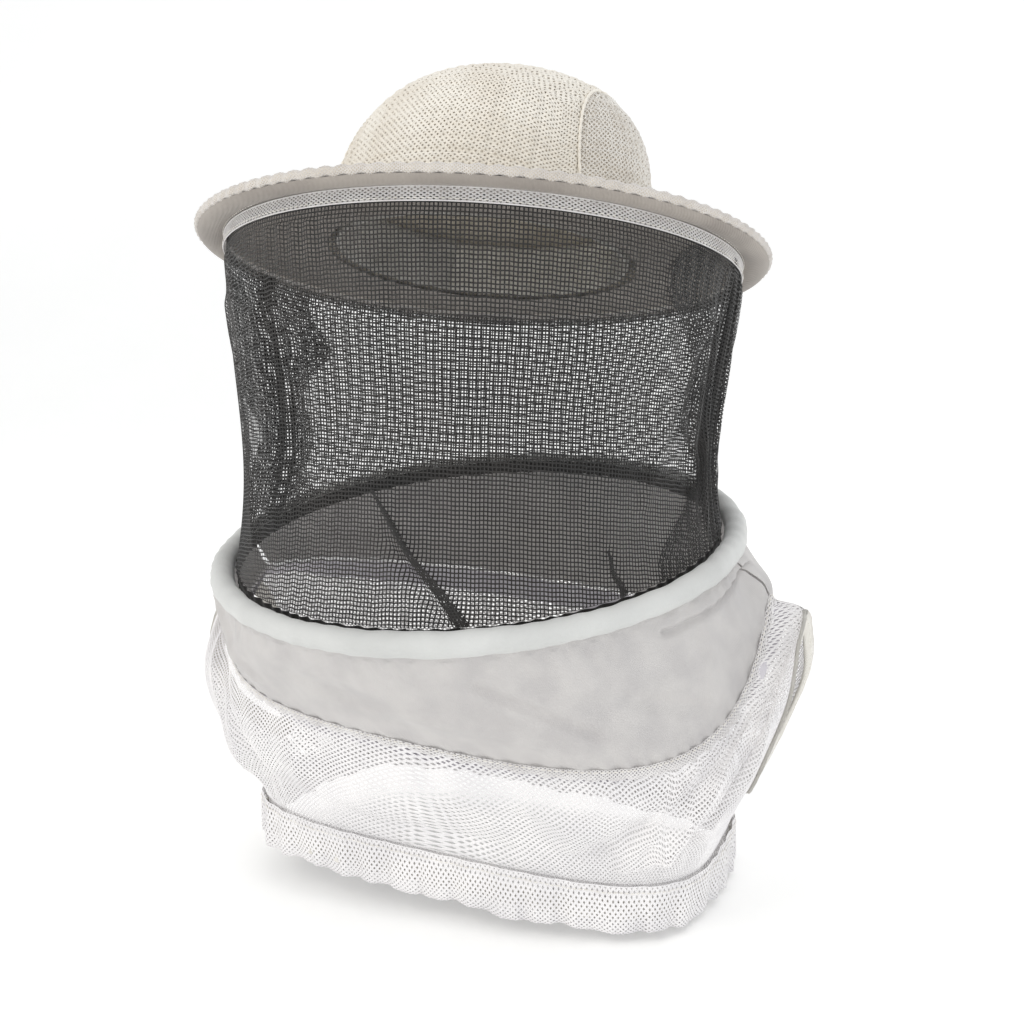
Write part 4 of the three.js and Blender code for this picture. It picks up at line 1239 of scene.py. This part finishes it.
# ---------------------------------------------------------------------------------------------
# Armhole bindings: off-white twill tape, folded over the mesh's cut edge and stitched through.
# ---------------------------------------------------------------------------------------------
armhole_from, armhole_to = 1.15 / 7, 5.75 / 7
binding_width = 0.009
binding_lap = 0.002
binding_half = 0.0012


def tape_ribs(tree):
    """Slanting ribs of twill tape on its own map, drawn 1.3 mm apart so that they show."""
    place = add_node(tree, "ShaderNodeUVMap", uv_map="cloth").outputs["UV"]
    return add_node(tree, "ShaderNodeTexWave", {"Vector": place, "Scale": 0.314 / 0.0013,
                                                "Distortion": 0.4}, bands_direction="DIAGONAL").outputs["Fac"]


# Cotton twill tape: off-white, firm, with slanting ribs.
twill_tape = fabric("off-white twill tape", "#f0ede6", "#e5e1d8", 0.03, 0.001, 0.0003, 0.75, 0.2, tape_ribs)
for name, side in [("left", 1), ("right", -1)]:
    shares = np.linspace(armhole_from, armhole_to, 90)
    front, back = bib_side(side, -1, shares), bib_side(side, 1, shares)
    loop = np.concatenate([front, back[::-1]])
    middle = loop.mean(axis=0)
    along = np.roll(loop, -1, axis=0) - np.roll(loop, 1, axis=0)
    along /= np.linalg.norm(along, axis=1, keepdims=True)
    inward = middle - loop
    inward -= along * (inward * along).sum(axis=1, keepdims=True)
    inward /= np.linalg.norm(inward, axis=1, keepdims=True)
    upward = np.cross(along, inward)
    upward *= np.sign(upward[:, :1] * side)
    start = cloth_thickness / 2 + binding_lap
    profile = [(-0.0026, 0.0002), (binding_lap, 0.0), (binding_lap + binding_width - 0.001, 0.0002),
               (binding_lap + binding_width, binding_half), (binding_lap + binding_width - 0.001,
                                                             2 * binding_half - 0.0002),
               (binding_lap, 2 * binding_half), (-0.0026, 2 * binding_half - 0.0002)]
    reach = np.arange(len(loop))
    pucker = 1 + 0.10 * np.sin(reach * 0.9) + 0.06 * np.sin(reach * 0.37 + 1)
    rows = [loop + inward * (start + o) + upward * ((u - binding_half) * pucker + binding_half)[:, None]
            for o, u in profile]
    points = np.stack(rows, axis=1).reshape(-1, 3)
    distance = np.cumsum(np.linalg.norm(loop - np.roll(loop, 1, axis=0), axis=1))
    flat = np.stack(np.broadcast_arrays(distance[:, None], np.arange(len(profile))[None] * 0.004), axis=-1)
    tape = make_piece(f"armhole_{name}_twill_tape", points, grid_faces(
        len(loop), len(profile), round_columns=True, round_rows=True), twill_tape, uv=flat.reshape(-1, 2))
    tidy = bmesh.new()
    tidy.from_mesh(tape.data)
    bmesh.ops.recalc_face_normals(tidy, faces=tidy.faces)
    tidy.to_mesh(tape.data)
    tidy.free()
    closed_loop = list(range(len(loop))) + [0]
    tape_rows = sew(f"armhole_{name}_stitches", [
        (loop + inward * (start + 0.003) + upward * 2 * binding_half)[closed_loop],
        (loop + inward * (start + 0.003))[closed_loop]], white_thread)
    for piece in (tape, tape_rows):
        gather_below_collar(piece)
    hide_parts(f"armhole_binding_{name}")


# ---------------------------------------------------------------------------------------------
# Hem: the mesh is folded up into a double band that holds a flat elastic, which gathers it in
# upright rucks. A row of stitches closes the channel.
# ---------------------------------------------------------------------------------------------
hem_half_mouth = 0.0023
hem_rows = 19


def hem_line(degrees, out, z):
    """A line round the hem, standing out from its middle line."""
    at = oval(hem_half_width, hem_half_depth, hem_power, degrees, z)
    ahead, behind = (oval(hem_half_width, hem_half_depth, hem_power, degrees + k, z) for k in (0.5, -0.5))
    along = ahead - behind
    along /= np.linalg.norm(along, axis=-1, keepdims=True)
    outward = np.stack([along[..., 1], -along[..., 0], 0 * along[..., 0]], axis=-1)
    outward *= np.sign((outward * at).sum(axis=-1, keepdims=True))
    return skewed(at + outward * out[..., None]) + [bib_shift, 0, 0]


def even_turns(count, start, end):
    """Angles that step evenly along the hem, between two angles."""
    fine = np.linspace(start, end, 4000)
    line = oval(hem_half_width, hem_half_depth, hem_power, fine, 0)
    reach = np.concatenate([[0], np.cumsum(np.linalg.norm(np.diff(line, axis=0), axis=1))])
    return np.interp(np.linspace(0, reach[-1], count), reach, fine), reach[-1]


for name, start, end, node in [("front", -90, 90, "hem_front"), ("back", 90, 270, "hem_back")]:
    degrees, length = even_turns(150, start, end)
    walk = np.linspace(0, length, 150)
    level = np.linspace(0, 1, hem_rows)[:, None]
    fold = np.sin(np.pi * level)
    height = hem_top_z + 0.0006 - hem_height * np.clip(fold * 1.08, 0, 1) ** 0.9
    standing = hem_half_mouth * np.cos(np.pi * level)
    rucks = (0.0009 * np.sin(walk * 480 + 2 * np.sin(walk * 90)) + 0.0017 * np.sin(walk * 290 + 1)
             + 0.0004 * np.sin(walk * 900)) * (0.25 + 0.75 * fold)
    sway = 0.0012 * np.sin(walk * 75 + 0.6) + 0.001 * np.sin(walk * 31)
    points = hem_line(degrees + 0 * level, standing + rucks + sway * fold, height)
    points[..., 2] += 0.0009 * np.sin(walk * 110 + 0.8) * fold
    points, faces = diamonds(points.reshape(-1, 3), grid_faces(hem_rows, 150))
    hem = make_piece(f"hem_{name}_band", points, faces, air_mesh, smooth=False, outward=False)
    open_net(hem, 0.42, 0.0003, lambda p: p[:, ::2])
    channel = sew(f"hem_{name}_stitches", [
        hem_line(degrees, hem_half_mouth + 0.0009 + 0.0006 * np.sin(walk * 480 + 2 * np.sin(walk * 90)),
                 hem_top_z - 0.003 + 0 * degrees)], white_thread, pitch=0.0033)
    for piece in (hem, channel):
        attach(piece, "hem")
    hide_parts(node)

degrees, length = even_turns(400, 0, 360)
degrees, walk = degrees[:-1], np.linspace(0, length, 400)[:-1]
rise = np.linspace(hem_top_z - 0.0205, hem_top_z - 0.0085, 7)[:, None]
elastic_ruck = 0.0014 * np.sin(walk * 290 + 1)
band_points = hem_line(degrees + 0 * rise, elastic_ruck + 0 * rise, rise + 0 * degrees)
hem_band = make_piece("hem_rib_elastic", band_points.reshape(-1, 3),
                      grid_faces(7, 399, round_columns=True), ribbed_elastic)
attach(hem_band, "hem")
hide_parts("hem_elastic")
